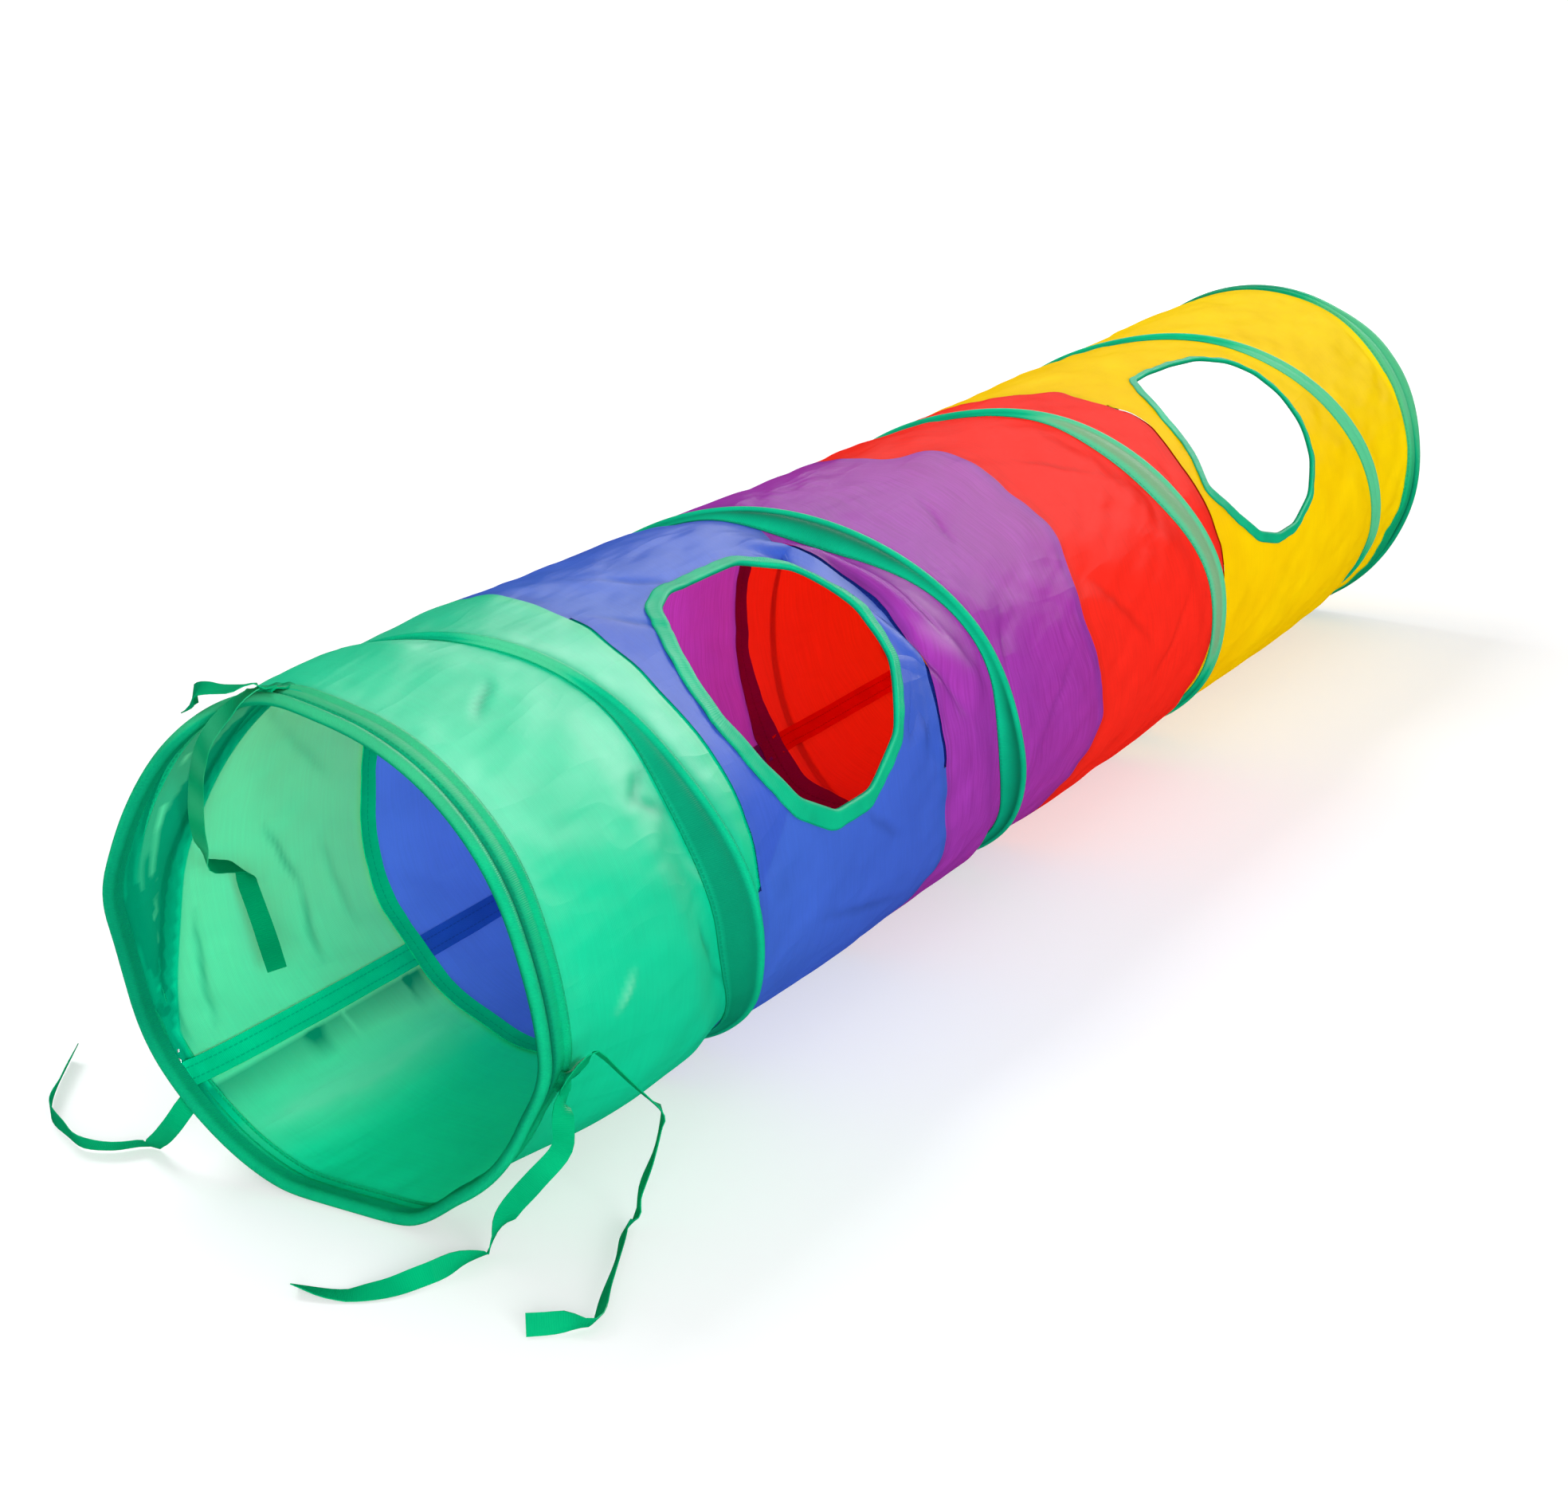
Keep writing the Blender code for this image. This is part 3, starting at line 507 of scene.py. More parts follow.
def finish_piece(obj, material, node, body, sizes=None):
    """Gives a piece its material and slot, hides the CAD node it stands for and hangs it on its body."""
    obj.data.materials.clear()
    obj.data.materials.append(material)
    smooth_shading(obj)
    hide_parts(node)
    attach(obj, body)
    if sizes is not None:
        press_together(obj, body, sizes)
    return obj


def press_together(obj, body, sizes):
    """Works out how much of its length a piece keeps and where it is held when the coil is pressed together, and
    gives the piece its own copy of its mesh; the piece is not shortened here.
    """
    keep = sizes.pressed
    start = sizes.hem_width
    anchor = start + COLLAPSE_SHARE * SECTION_STARTS[SECTIONS.index(body)] / (1 - keep)
    if obj.name == "green_fabric":  # its near edge stays in the hem
        end = start + (SECTION_STARTS[1] - start) * keep
        anchor = PANEL_INSET
        keep = (end - anchor) / (SECTION_STARTS[1] - anchor)
    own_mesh(obj)


# Shape of the tunnel


def ease(low, high, value):
    """Rises smoothly from 0 at low to 1 at high."""
    share = np.clip((value - low) / (high - low), 0, 1)
    return share * share * (3 - 2 * share)


def plateau(value, rise, full, fade, end):
    """1 from full to fade, and 0 before rise and after end."""
    return ease(rise, full, value) * (1 - ease(fade, end, value))


def bell(value, middle, width):
    return np.exp(-(((value - middle) / width) ** 2))


def wrapped(angle):
    """The same angle, from -180 up to 180."""
    return (np.asarray(angle, float) + 180) % 360 - 180


def arc_length(angle):
    return FRAME_RADIUS * np.radians(angle)


def run_lengths(points):
    """Length of a line of points up to each of them."""
    return np.concatenate([[0], np.cumsum(np.linalg.norm(np.diff(points, axis=0), axis=1))])


def read_along(at, stations, rows):
    """The rows of a table of points, read smoothly at places between its stations."""
    return np.stack([np.interp(at, stations, column) for column in np.transpose(rows)], axis=-1)


def round_table(table, angle, spread=3.0):
    """Values of a table of (angle, value) that goes once round the tunnel, its corners rounded off."""
    angles, values = np.array(table, float).T
    order = np.argsort(wrapped(angles))
    angles = wrapped(angles)[order]
    values = values[order]
    turns = (-spread, -spread / 2, 0, spread / 2, spread)
    return sum(
        0.2 * np.interp(wrapped(np.asarray(angle) + turn), angles, values, period=360) for turn in turns
    )


def hermite_table(stations, steps=800):
    """A smooth rising curve through the stations, as two arrays."""
    turns, values = np.array(stations).T
    slopes = np.zeros(len(turns))
    slopes[1:-1] = (values[2:] - values[:-2]) / (turns[2:] - turns[:-2])
    at = np.linspace(turns[0], turns[-1], steps)
    i = np.clip(np.searchsorted(turns, at, side="right") - 1, 0, len(turns) - 2)
    width = turns[i + 1] - turns[i]
    t = (at - turns[i]) / width
    first = (2 * t**3 - 3 * t**2 + 1) * values[i] + (t**3 - 2 * t**2 + t) * slopes[i] * width
    second = t**2 * (3 - 2 * t) * values[i + 1] + (t**3 - t**2) * slopes[i + 1] * width
    return at, first + second


COIL_TURNS, COIL_SHARES = hermite_table(COIL_STATIONS)


def coil_distance(turn):
    return COIL_MARGIN + np.interp(turn, COIL_TURNS, COIL_SHARES) * (LENGTH - 2 * COIL_MARGIN)


def first_turn(angle):
    """Where the coil first passes an angle, as a share of its first turn."""
    return ((angle - SEAM_START) / 360) % 1.0


def tape_station(turn, column):
    """The width (1) or the dip (2) of the tape's face at a turn, its corners rounded off."""
    table = np.array(TAPE_STATIONS)
    turns, values = table[:, 0], table[:, column]
    spread = (-0.02, -0.01, 0.0, 0.01, 0.02)
    return sum(np.interp(np.asarray(turn) + shift, turns, values) for shift in spread) / len(spread)


def perlin(points):
    return np.array([noise.noise(point) for point in points])


def wrinkles(distance, angle, lean, along, across, seed):
    """Soft waves that wind round the tunnel, leaning by so many degrees for each metre."""
    turn = np.radians(angle + lean * distance)
    radius = FRAME_RADIUS / across
    points = np.stack([distance / along + seed, radius * np.cos(turn), radius * np.sin(turn)], axis=-1)
    return perlin(points)


def hole_reach(distance, angle):
    """How far outside the nearest peep hole a place is: 1 on its edge, more outside."""
    nearest = np.full(len(distance), np.inf)
    for outline, middle, _, _ in HOLES.values():
        half = max(abs(point[0]) for point in outline)
        around = arc_length(wrapped(angle - HOLE_ANGLE)) / HOLE_HALF
        nearest = np.minimum(nearest, np.hypot((distance - middle) / half, around))
    return nearest


def creased(distance, angle):
    """Depth of the sharp creases at each place, and the painted shade in them (painted light below 0), tapered
    towards their ends.
    """
    depth = np.zeros(len(distance))
    dark = np.zeros(len(distance))
    places = np.stack([distance, arc_length(wrapped(angle))], axis=-1)
    for angle0, distance0, angle1, distance1, width, deep, shade in CREASES:
        start = np.array([distance0, arc_length(angle0)])
        run = np.array([distance1, arc_length(angle1)]) - start
        length = float(np.hypot(*run))
        off = places - start
        along = off @ run / length
        waver = 0.0004 * np.sin(along * 260 + 40 * distance0)
        across = (off[:, 0] * run[1] - off[:, 1] * run[0]) / length + waver
        share = np.clip(along / length, 0, 1)
        beyond = np.abs(along - share * length)
        taper = np.sin(np.pi * np.clip(share, 0.04, 0.96)) ** 0.6
        line = taper * np.exp(-((across / width) ** 2) - (beyond / width) ** 2)
        depth += deep * line
        dark += shade * line
    return depth, dark


def mouth_run(distance, angle):
    """Share of the way from the near hem to the first turn of the coil."""
    start, shortest = 0.012, 0.004
    after = coil_distance(first_turn(wrapped(angle)))
    return (distance - start) / np.maximum(after - start, shortest)


def fold_painted_shade(distance, angle):
    """Painted shade where the fabric lies double and folded behind the near mouth, with painted light along the
    folds given below 0.
    """
    turned = wrapped(angle)
    run = mouth_run(distance, angle)
    beside = plateau(turned, -146, -132, -40, -30) * (1 - ease(0.97, 1.03, run))
    shade = np.full(len(distance), 0.76)
    for angle0, run0, angle1, run1, half, dark in FOLDS:
        along = np.clip((turned - angle0) / (angle1 - angle0), 0, 1)
        middle = run0 + (run1 - run0) * along
        width = half * np.sin(np.pi * np.clip(along, 0.02, 0.98)) ** 0.7
        shade += dark * (1 - ease(0.75, 1.1, np.abs(run - middle) / width))
    return shade * beside


def fullness(angle):
    """Where the fabric fills out to the coil's own radius: along the back of the top and on the floor."""
    turned = wrapped(angle)
    return np.maximum(plateau(turned, -95, -55, -12, 12), ease(98, 122, np.abs(turned)))


def slump(distance, angle):
    """How far the coil itself has sunk along the back of the top."""
    return np.interp(distance, *SLUMP) * plateau(wrapped(angle), -90, -50, -15, 25)


def skin_radius(distance, angle, sizes):
    """Radius of the fabric at each distance and angle: drawn in between the coils, slack and pleated."""
    angle = np.broadcast_to(np.asarray(angle, float), np.shape(distance))
    distance = np.asarray(distance, float)
    turned = wrapped(angle)

    # The turns of the coil before and after each place
    coils = [coil_distance(first_turn(angle) + k) for k in range(LAST_TURN)]
    ends = np.full(len(distance), COIL_MARGIN)
    places = np.stack([ends, *coils, LENGTH - ends], axis=-1)
    which = np.clip((places <= distance[:, None]).sum(axis=1) - 1, 0, LAST_TURN)
    rows = np.arange(len(distance))
    before = places[rows, which]
    after = places[rows, which + 1]
    ahead = after - distance
    gap = np.maximum(after - before, 1e-4)
    share = np.clip((distance - before) / gap, 0, 1)

    # Drawn in between the turns, or billowing out
    base = sizes.radius - 0.0023 - 0.0016 * bell(np.minimum(distance - before, ahead), 0, 0.0050)
    bow = np.minimum(5 * share * (1 - share), 1)
    full = fullness(angle)
    sag = bow * (sizes.sag * np.minimum(gap / 0.2, 1) * (1 - full) - 0.0021 * full)
    sag -= bow * plateau(turned, -75, -50, -15, 10) * np.interp(distance, *BILLOW)

    # The hollow ahead of each turn, under the tape's sloping face
    turn_ahead = first_turn(angle) + which
    width = np.where(which < LAST_TURN, tape_station(turn_ahead, 1), 0.004)
    dip = np.where(which < LAST_TURN, tape_station(turn_ahead, 2), 0.0)
    room = np.clip(gap / 0.05, 0, 1)
    groove = dip * room * ease(0, 1, ahead / width) * (1 - ease(width, width + 0.035, ahead))

    # Slack waves, calm beside the coil, the hems, the holes and the floor
    free = ease(0.002, 0.016, distance - before - 0.004) * ease(width + 0.002, width + 0.016, ahead)
    free *= ease(0.019, 0.034, distance) * ease(0.019, 0.034, LENGTH - distance)
    calm = 0.25 + 0.75 * ease(1.15, 1.45, hole_reach(distance, angle))
    slack = sum(height * wrinkles(distance, angle, *wave) for height, *wave in SLACK)
    slack *= sizes.wrinkle * free * calm * (1 - 0.8 * ease(128, 146, np.abs(turned)))
    slack *= 1 - 0.4 * ease(0.20, 0.14, distance)

    # Puckers where the fabric is sewn to a hem or the tape
    nearness = np.exp(-np.maximum(distance - 0.019, 0) / 0.022)
    nearness += np.exp(-np.maximum(LENGTH - 0.019 - distance, 0) / 0.022)
    nearness += 0.8 * np.exp(-np.maximum(distance - before - 0.005, 0) / 0.014)
    nearness += 0.8 * np.exp(-np.maximum(ahead - width, 0) / 0.014)
    pucker = 0.0009 * nearness * free * calm * wrinkles(distance, angle, 60, 0.060, 0.0085, 41.3)

    # Pleats behind the near mouth
    left = plateau(turned, -136, -112, -62, -44) * (which == 0)
    run = np.clip(mouth_run(distance, angle), 0, 1)
    wander = 0.35 * np.sin(np.radians(2.6 * turned)) + 0.15 * wrinkles(distance, angle, 0, 0.5, 0.09, 57.9)
    pleats = sizes.pleat * left * (0.5 * np.sin(2 * np.pi * (1.3 * run + wander)) - 0.6)
    pleats *= plateau(run, 0, 0.2, 0.75, 1.0)

    # The fold behind the blue hole
    off = distance - FOLD_DISTANCE - FOLD_LEAN * (turned - FOLD_ANGLE)
    flap = sum(height * bell(off, middle, reach) for height, middle, reach in FOLD_WAVES)
    flap *= plateau(turned, 8, 24, 66, 84) * ease(0.001, 0.010, ahead - width)

    crease = creased(distance, angle)[0] * free
    return base - sag - groove + slack + pucker + pleats + flap - crease


def tube_points(distance, angle, radius, sizes):
    """Places on the tunnel. The underside is pressed flat and the near mouth stands out of its plane."""
    turned = wrapped(angle)
    nearness = 1 - ease(0.0, 0.09, distance)
    low = plateau(turned, 98, 118, 146, 164)
    pinch = 0.0085 * bell(distance, 0.030, 0.040) * low
    pinch += 0.0050 * bell(LENGTH - distance, 0.045, 0.030) * low
    flare = 0.0036 * plateau(turned, 22, 46, 54, 84) * np.interp(LENGTH - distance, *FLARE)
    radius = radius - slump(distance, angle) - round_table(MOUTH_DENT, angle, 8.0) * nearness - pinch + flare
    turn = np.radians(angle)
    sway = round_table(MOUTH_SWAY, angle, 5.0) * nearness
    level = radius * np.cos(turn)
    flat = -(radius - sizes.flat_depth)
    height = (level + flat + np.sqrt((level - flat) ** 2 + 0.0025**2)) / 2
    return np.stack([NEAR_MOUTH + distance + sway, -radius * np.sin(turn), AXIS_HEIGHT + height], axis=-1)


def on_skin(distance, angle, lift, sizes):
    return tube_points(distance, angle, skin_radius(distance, angle, sizes) + lift, sizes)


def meeting_line(index, angle):
    """Where panel index begins. The first begins at the near mouth, and one more is the far mouth."""
    if index == 0:
        return np.full(len(angle), PANEL_INSET)
    if index == len(PANELS):
        return np.full(len(angle), LENGTH - PANEL_INSET)
    lines = (GREEN_BLUE_LINE, BLUE_PURPLE_LINE, PURPLE_RED_LINE, RED_YELLOW_LINE)
    return round_table(lines[index - 1], angle)


# Materials


def fill(tree, socket, value):
    """Links an output to a socket, or sets the socket to a plain value."""
    if isinstance(value, bpy.types.NodeSocket):
        tree.links.new(value, socket)
    elif socket.type == "RGBA":
        socket.default_value = (*value[:3], 1.0)
    elif value is not None:
        socket.default_value = value


def add_node(tree, kind, **inputs):
    node = tree.nodes.new(kind)
    for key, value in inputs.items():
        fill(tree, node.inputs[key.replace("_", " ")], value)
    return node


def math_node(tree, operation, first, second=None, kind="ShaderNodeMath"):
    node = tree.nodes.new(kind)
    node.operation = operation
    fill(tree, node.inputs[0], first)
    fill(tree, node.inputs[1], second)
    return node.outputs["Value" if operation == "DOT_PRODUCT" else 0]


def clamped(tree, value):
    return math_node(tree, "MINIMUM", math_node(tree, "MAXIMUM", value, 0.0), 1.0)


def mix_colour(tree, factor, first, second, blend="MIX"):
    node = tree.nodes.new("ShaderNodeMix")
    node.data_type = "RGBA"
    node.blend_type = blend
    for index, value in ((0, factor), (6, first), (7, second)):
        fill(tree, node.inputs[index], value)
    return node.outputs[2]


def mix_shaders(tree, factor, first, second):
    node = add_node(tree, "ShaderNodeMixShader", Fac=factor)
    fill(tree, node.inputs[1], first.outputs[0])
    fill(tree, node.inputs[2], second.outputs[0])
    return node


def seen_rays(tree):
    """1 for what is seen, straight, mirrored or through something, and 0 for what lights the tunnel."""
    rays = tree.nodes.new("ShaderNodeLightPath")
    seen = math_node(tree, "MAXIMUM", rays.outputs["Is Camera Ray"], rays.outputs["Is Glossy Ray"])
    return math_node(tree, "MAXIMUM", seen, rays.outputs["Is Transmission Ray"])


def new_material(name):
    material = bpy.data.materials.new(name)
    material.use_nodes = True
    tree = material.node_tree
    tree.nodes.clear()
    return material, tree, tree.nodes.new("ShaderNodeOutputMaterial")


def scaled(colour, factor):
    return tuple(min(1.0, channel * factor) for channel in colour)


def mottled(tree, places, colour, amount, scale):
    """The colour, a little lighter and darker in soft patches."""
    patches = add_node(tree, "ShaderNodeTexNoise", Vector=places, Scale=scale, Detail=3.0, Roughness=0.6)
    fade = add_node(tree, "ShaderNodeMapRange", Value=patches.outputs["Fac"], From_Min=0.3, From_Max=0.7)
    return mix_colour(tree, fade.outputs["Result"], scaled(colour, 1 - amount), scaled(colour, 1 + amount))


def shaded(tree, colour, deep, pale, painted_see_through=None):
    """Paints shade into a colour by the shade kept on the cloth, and below 0 paints light: pale, then a
    see-through colour.
    """
    layer = tree.nodes.new("ShaderNodeAttribute")
    layer.attribute_name = "shade"
    light = math_node(tree, "MULTIPLY", layer.outputs["Fac"], -2.0)
    result = mix_colour(tree, clamped(tree, layer.outputs["Fac"]), colour, deep)
    result = mix_colour(tree, clamped(tree, light), result, pale)
    if painted_see_through is not None:
        result = mix_colour(tree, clamped(tree, math_node(tree, "SUBTRACT", light, 1.0)), result, painted_see_through)
    return result


def weave_height(tree, uv, period):
    """Height of a plain weave whose threads lie so far apart."""
    waves = []
    for direction in ("X", "Y"):
        wave = add_node(tree, "ShaderNodeTexWave", Vector=uv, Scale=math.pi / (10 * period))
        wave.bands_direction = direction
        waves.append(wave.outputs["Fac"])
    return math_node(tree, "MULTIPLY", *waves)


def crease_height(tree, places, lean, seed):
    """Long fine creases that lean round the tunnel."""
    turned = add_node(
        tree, "ShaderNodeMapping", Vector=places, Rotation=(lean, lean * 0.4, lean * 0.7),
        Location=(seed, seed, seed), Scale=(9.0, 55.0, 30.0),
    )
    creases = add_node(tree, "ShaderNodeTexNoise", Vector=turned.outputs[0], Scale=1.0, Detail=2.0)
    ridge = math_node(tree, "ABSOLUTE", math_node(tree, "SUBTRACT", creases.outputs["Fac"], 0.5))
    return math_node(tree, "MULTIPLY", ridge, -2.0)


def bumped(tree, height, distance, strength, normal=None):
    bump = add_node(tree, "ShaderNodeBump", Height=height, Distance=distance, Strength=strength)
    if normal is not None:
        tree.links.new(normal, bump.inputs["Normal"])
    return bump.outputs[0]


def fabric_shader(tree, output, colour, light, normal, roughness, shine, through):
    """Cloth that reflects its colour, lets coloured light through and has a faint gloss."""
    cloth = add_node(
        tree, "ShaderNodeBsdfPrincipled", Base_Color=colour, Roughness=0.6, Normal=normal,
        Specular_IOR_Level=0.0,
    )
    passing = add_node(tree, "ShaderNodeBsdfTranslucent", Color=light, Normal=normal)
    gloss = add_node(tree, "ShaderNodeBsdfAnisotropic", Color=(1, 1, 1), Roughness=roughness, Normal=normal)
    glossed = mix_shaders(tree, shine, mix_shaders(tree, through, cloth, passing), gloss)
    tree.links.new(glossed.outputs[0], output.inputs["Surface"])


def outer_share(tree, places, amount):
    """The amount on the outside of the tunnel, and nothing on its inside."""
    surface = tree.nodes.new("ShaderNodeNewGeometry")
    vector = "ShaderNodeVectorMath"
    outwards = math_node(tree, "SUBTRACT", places, (0, 0, AXIS_HEIGHT), vector)
    outwards = math_node(tree, "MULTIPLY", outwards, (0, 1, 1), vector)
    facing = math_node(tree, "DOT_PRODUCT", outwards, surface.outputs["Normal"], vector)
    return math_node(tree, "MULTIPLY", math_node(tree, "GREATER_THAN", facing, 0.0), amount)


def panel_material(name, colour, light, back, streak, shine, roughness, seed):
    """Thin see-through nylon with a fine weave, soft patches and creases, brighter at the back by a painted
    back-lit glow, with a painted brighter copy of its colour inside and painted shade and light from the cloth's
    shade.
    """
    material, tree, output = new_material(name + "_nylon")
    spots = tree.nodes.new("ShaderNodeTexCoord")
    places = spots.outputs["Object"]
    outside = mottled(tree, places, colour, 0.07, 22.0)
    # Painted light: the inside faces get a copy of the colour a third brighter
    inside = mottled(tree, places, scaled(colour, 1.33), 0.05, 22.0)
    face = mix_colour(tree, outer_share(tree, places, 1.0), inside, outside)
    parts = add_node(tree, "ShaderNodeSeparateXYZ", Vector=places)
    # Painted light: past Y 0.045 to 0.085, on the back of the tunnel, the light through the fabric turns to the
    # paler back-lit colour
    behind = add_node(tree, "ShaderNodeMapRange", Value=parts.outputs["Y"], From_Min=0.045, From_Max=0.085)
    near_glow = mottled(tree, places, light, 0.07, 16.0)
    glow = mix_colour(tree, behind.outputs["Result"], near_glow, mottled(tree, places, back, 0.07, 16.0))
    threads = add_node(tree, "ShaderNodeMapping", Vector=spots.outputs["UV"], Scale=(650.0, 30.0, 1.0))
    threads = add_node(tree, "ShaderNodeTexNoise", Vector=threads.outputs[0], Scale=1.0, Detail=1.0)
    streaks = add_node(
        tree, "ShaderNodeMapRange", Value=threads.outputs["Fac"], From_Min=0.3, From_Max=0.7,
        To_Min=1 - streak, To_Max=1 + streak,
    )
    face = mix_colour(tree, 1.0, face, streaks.outputs["Result"], "MULTIPLY")
    # Painted shade from the cloth's shade, and painted light where it is below 0, in both the reflected colour
    # and the light through it
    face = shaded(tree, face, scaled(colour, 0.55), tuple(c + (1 - c) * 0.13 for c in colour))
    glow = shaded(tree, glow, scaled(light, 0.16), scaled(light, 1.2))
    creases = crease_height(tree, places, 0.6 + 0.3 * seed, seed)
    normal = bumped(tree, creases, 0.0016, 0.6)
    normal = bumped(tree, weave_height(tree, spots.outputs["UV"], 0.0006), 0.00006, 0.5, normal)
    fabric_shader(tree, output, face, glow, normal, roughness, outer_share(tree, places, shine), 0.30)
    return material


def stitch_mask(tree, uv, rows):
    """White where a row of stitches lies: rows are distances from the first edge of the band."""
    pitch, half_thread = 0.0032, 0.00032
    parts = add_node(tree, "ShaderNodeSeparateXYZ", Vector=uv)
    dashes = math_node(tree, "FRACT", math_node(tree, "MULTIPLY", parts.outputs["X"], 1 / pitch))
    dashes = math_node(tree, "LESS_THAN", dashes, 0.72)
    mask = None
    for row in rows:
        off = math_node(tree, "ABSOLUTE", math_node(tree, "SUBTRACT", parts.outputs["Y"], row))
        line = math_node(tree, "LESS_THAN", off, half_thread)
        mask = line if mask is None else math_node(tree, "MAXIMUM", mask, line)
    return math_node(tree, "MULTIPLY", mask, dashes)


def band_material(name, colour, light, rows, through=0.35, shine=0.0022):
    """Woven tape with fine ribs and rows of stitches, and painted shade and light from the cloth's shade."""
    material, tree, output = new_material(name)
    spots = tree.nodes.new("ShaderNodeTexCoord")
    face = mottled(tree, spots.outputs["Object"], colour, 0.10, 30.0)
    # Painted shade from the cloth's shade; below 0 a painted highlight, then a painted see-through colour of
    # light coming through the tape
    face = shaded(tree, face, scaled(colour, 0.36), srgb(98, 208, 160), srgb(138, 178, 138))
    glow = mottled(tree, spots.outputs["Object"], light, 0.05, 30.0)
    glow = shaded(tree, glow, scaled(light, 0.2), light)
    ribs = add_node(tree, "ShaderNodeTexWave", Vector=spots.outputs["UV"], Scale=math.pi / 0.010)
    height = ribs.outputs["Fac"]
    if rows:
        mask = stitch_mask(tree, spots.outputs["UV"], rows)
        face = mix_colour(tree, math_node(tree, "MULTIPLY", mask, 0.55), face, scaled(colour, 0.45))
        height = math_node(tree, "SUBTRACT", height, math_node(tree, "MULTIPLY", mask, 3.0))
    normal = bumped(tree, height, 0.00012, 0.6)
    shine = outer_share(tree, spots.outputs["Object"], shine)
    fabric_shader(tree, output, face, glow, normal, 0.40, shine, through)
    return material


def steel_material(colour):
    material, tree, output = new_material("spring_steel")
    spots = tree.nodes.new("ShaderNodeTexCoord")
    marks = add_node(tree, "ShaderNodeTexNoise", Vector=spots.outputs["Object"], Scale=400.0)
    face = mix_colour(tree, marks.outputs["Fac"], scaled(colour, 0.8), scaled(colour, 1.2))
    rough = add_node(tree, "ShaderNodeMapRange", Value=marks.outputs["Fac"], To_Min=0.28, To_Max=0.45)
    wire = add_node(
        tree, "ShaderNodeBsdfPrincipled", Base_Color=face, Metallic=1.0, Roughness=rough.outputs["Result"],
        Normal=bumped(tree, marks.outputs["Fac"], 0.00003, 0.3),
    )
    tree.links.new(wire.outputs[0], output.inputs["Surface"])
    return material


# Pieces


def rounded_outline(corners, spacing=0.0022):
    """A closed outline through the corners, evenly spaced and a little rounded, with outward normals."""
    points = [Vector(corner) for corner in corners]
    dense = []
    for before, after in zip(points, points[1:] + points[:1]):
        steps = max(2, round((after - before).length / 0.0008))
        dense += [before.lerp(after, i / steps) for i in range(steps)]
    path = np.array([tuple(point) for point in dense])
    for _ in range(40):
        path = 0.5 * path + 0.25 * (np.roll(path, 1, axis=0) + np.roll(path, -1, axis=0))
    closed = np.vstack([path, path[:1]])
    lengths = run_lengths(closed)
    at = np.linspace(0, lengths[-1], round(lengths[-1] / spacing), endpoint=False)
    even = read_along(at, lengths, closed)
    ahead = np.roll(even, -1, axis=0) - np.roll(even, 1, axis=0)
    normals = np.stack([ahead[:, 1], -ahead[:, 0]], axis=-1)
    normals /= np.linalg.norm(normals, axis=1)[:, None]
    if np.sum(normals * even) < 0:
        normals = -normals
    return even, normals, lengths[-1]


def inside(points, outline):
    """Which points lie inside a closed outline."""
    x, y = points.T[..., None]
    x0, y0 = outline.T
    x1, y1 = np.roll(outline, -1, axis=0).T
    crosses = (y0 > y) != (y1 > y)
    meets = x0 + (y - y0) * (x1 - x0) / np.where(y1 == y0, 1e-12, y1 - y0)
    return (crosses & (x < meets)).sum(axis=1) % 2 == 1


def cut_hole(obj, name):
    """Cuts a peep hole out of a marked-out panel, whose X is the distance and Y the arc round the tunnel."""
    corners, middle, _, _ = HOLES[name]
    outline, normals, _ = rounded_outline(corners)
    edge = outline + normals * 0.0015 + (middle, 0.0)
    points = points_of(obj)[:, :2]
    mesh = bmesh.new()
    mesh.from_mesh(obj.data)
    mesh.verts.ensure_lookup_table()
    gone = np.flatnonzero(inside(points, edge)).tolist()
    bmesh.ops.delete(mesh, geom=[mesh.verts[i] for i in gone], context="VERTS")
    half_length, half_width = 0.11, 0.085  # of a box with nothing else of the panel's rim in it
    for vert in mesh.verts:
        if vert.is_boundary and abs(vert.co.x - middle) < half_length and abs(vert.co.y) < half_width:
            nearest = int(np.argmin(np.linalg.norm(edge - np.array(vert.co.xy), axis=1)))
            vert.co.xy = edge[nearest]
    mesh.to_mesh(obj.data)
    mesh.free()


def make_panel(index, sizes, material):
    """One panel of the tunnel: a flat sheet cut to its wavy ends, holed and rolled round the coil."""
    name = PANELS[index]
    girth = 2 * math.pi * FRAME_RADIUS
    ends = [0.0, *SECTION_STARTS[1:], LENGTH]
    length = ends[index + 1] - ends[index]
    obj = flat_cloth(
        name + "_fabric", length, girth, round(length / sizes.cloth_step), round(girth / sizes.cloth_step)
    )
    points = points_of(obj)
    share = points[:, 0] / length + 0.5
    angle = SEAM_ANGLE + 360 * (points[:, 1] / girth + 0.5)
    start = meeting_line(index, angle)
    distance = start + share * (meeting_line(index + 1, angle) - start)
    arc = arc_length(angle - HOLE_ANGLE)
    set_points(obj, np.stack([distance, arc, np.zeros(len(arc))], axis=-1))
    if name in HOLES:
        cut_hole(obj, name)
    marked = points_of(obj)
    angle = HOLE_ANGLE + np.degrees(marked[:, 1] / FRAME_RADIUS)
    set_points(obj, on_skin(marked[:, 0], angle, 0.0, sizes))
    # Painted shade in the creases and in the folds behind the near mouth; below 0 it is painted light
    dark = creased(marked[:, 0], angle)[1]
    if name == "green":
        dark += fold_painted_shade(marked[:, 0], angle)
    set_shade(obj, dark)
    sew_up(obj)
    turn_outwards(obj)
    finish_piece(obj, material, name + "_panel", SECTIONS[index], sizes)
    return obj


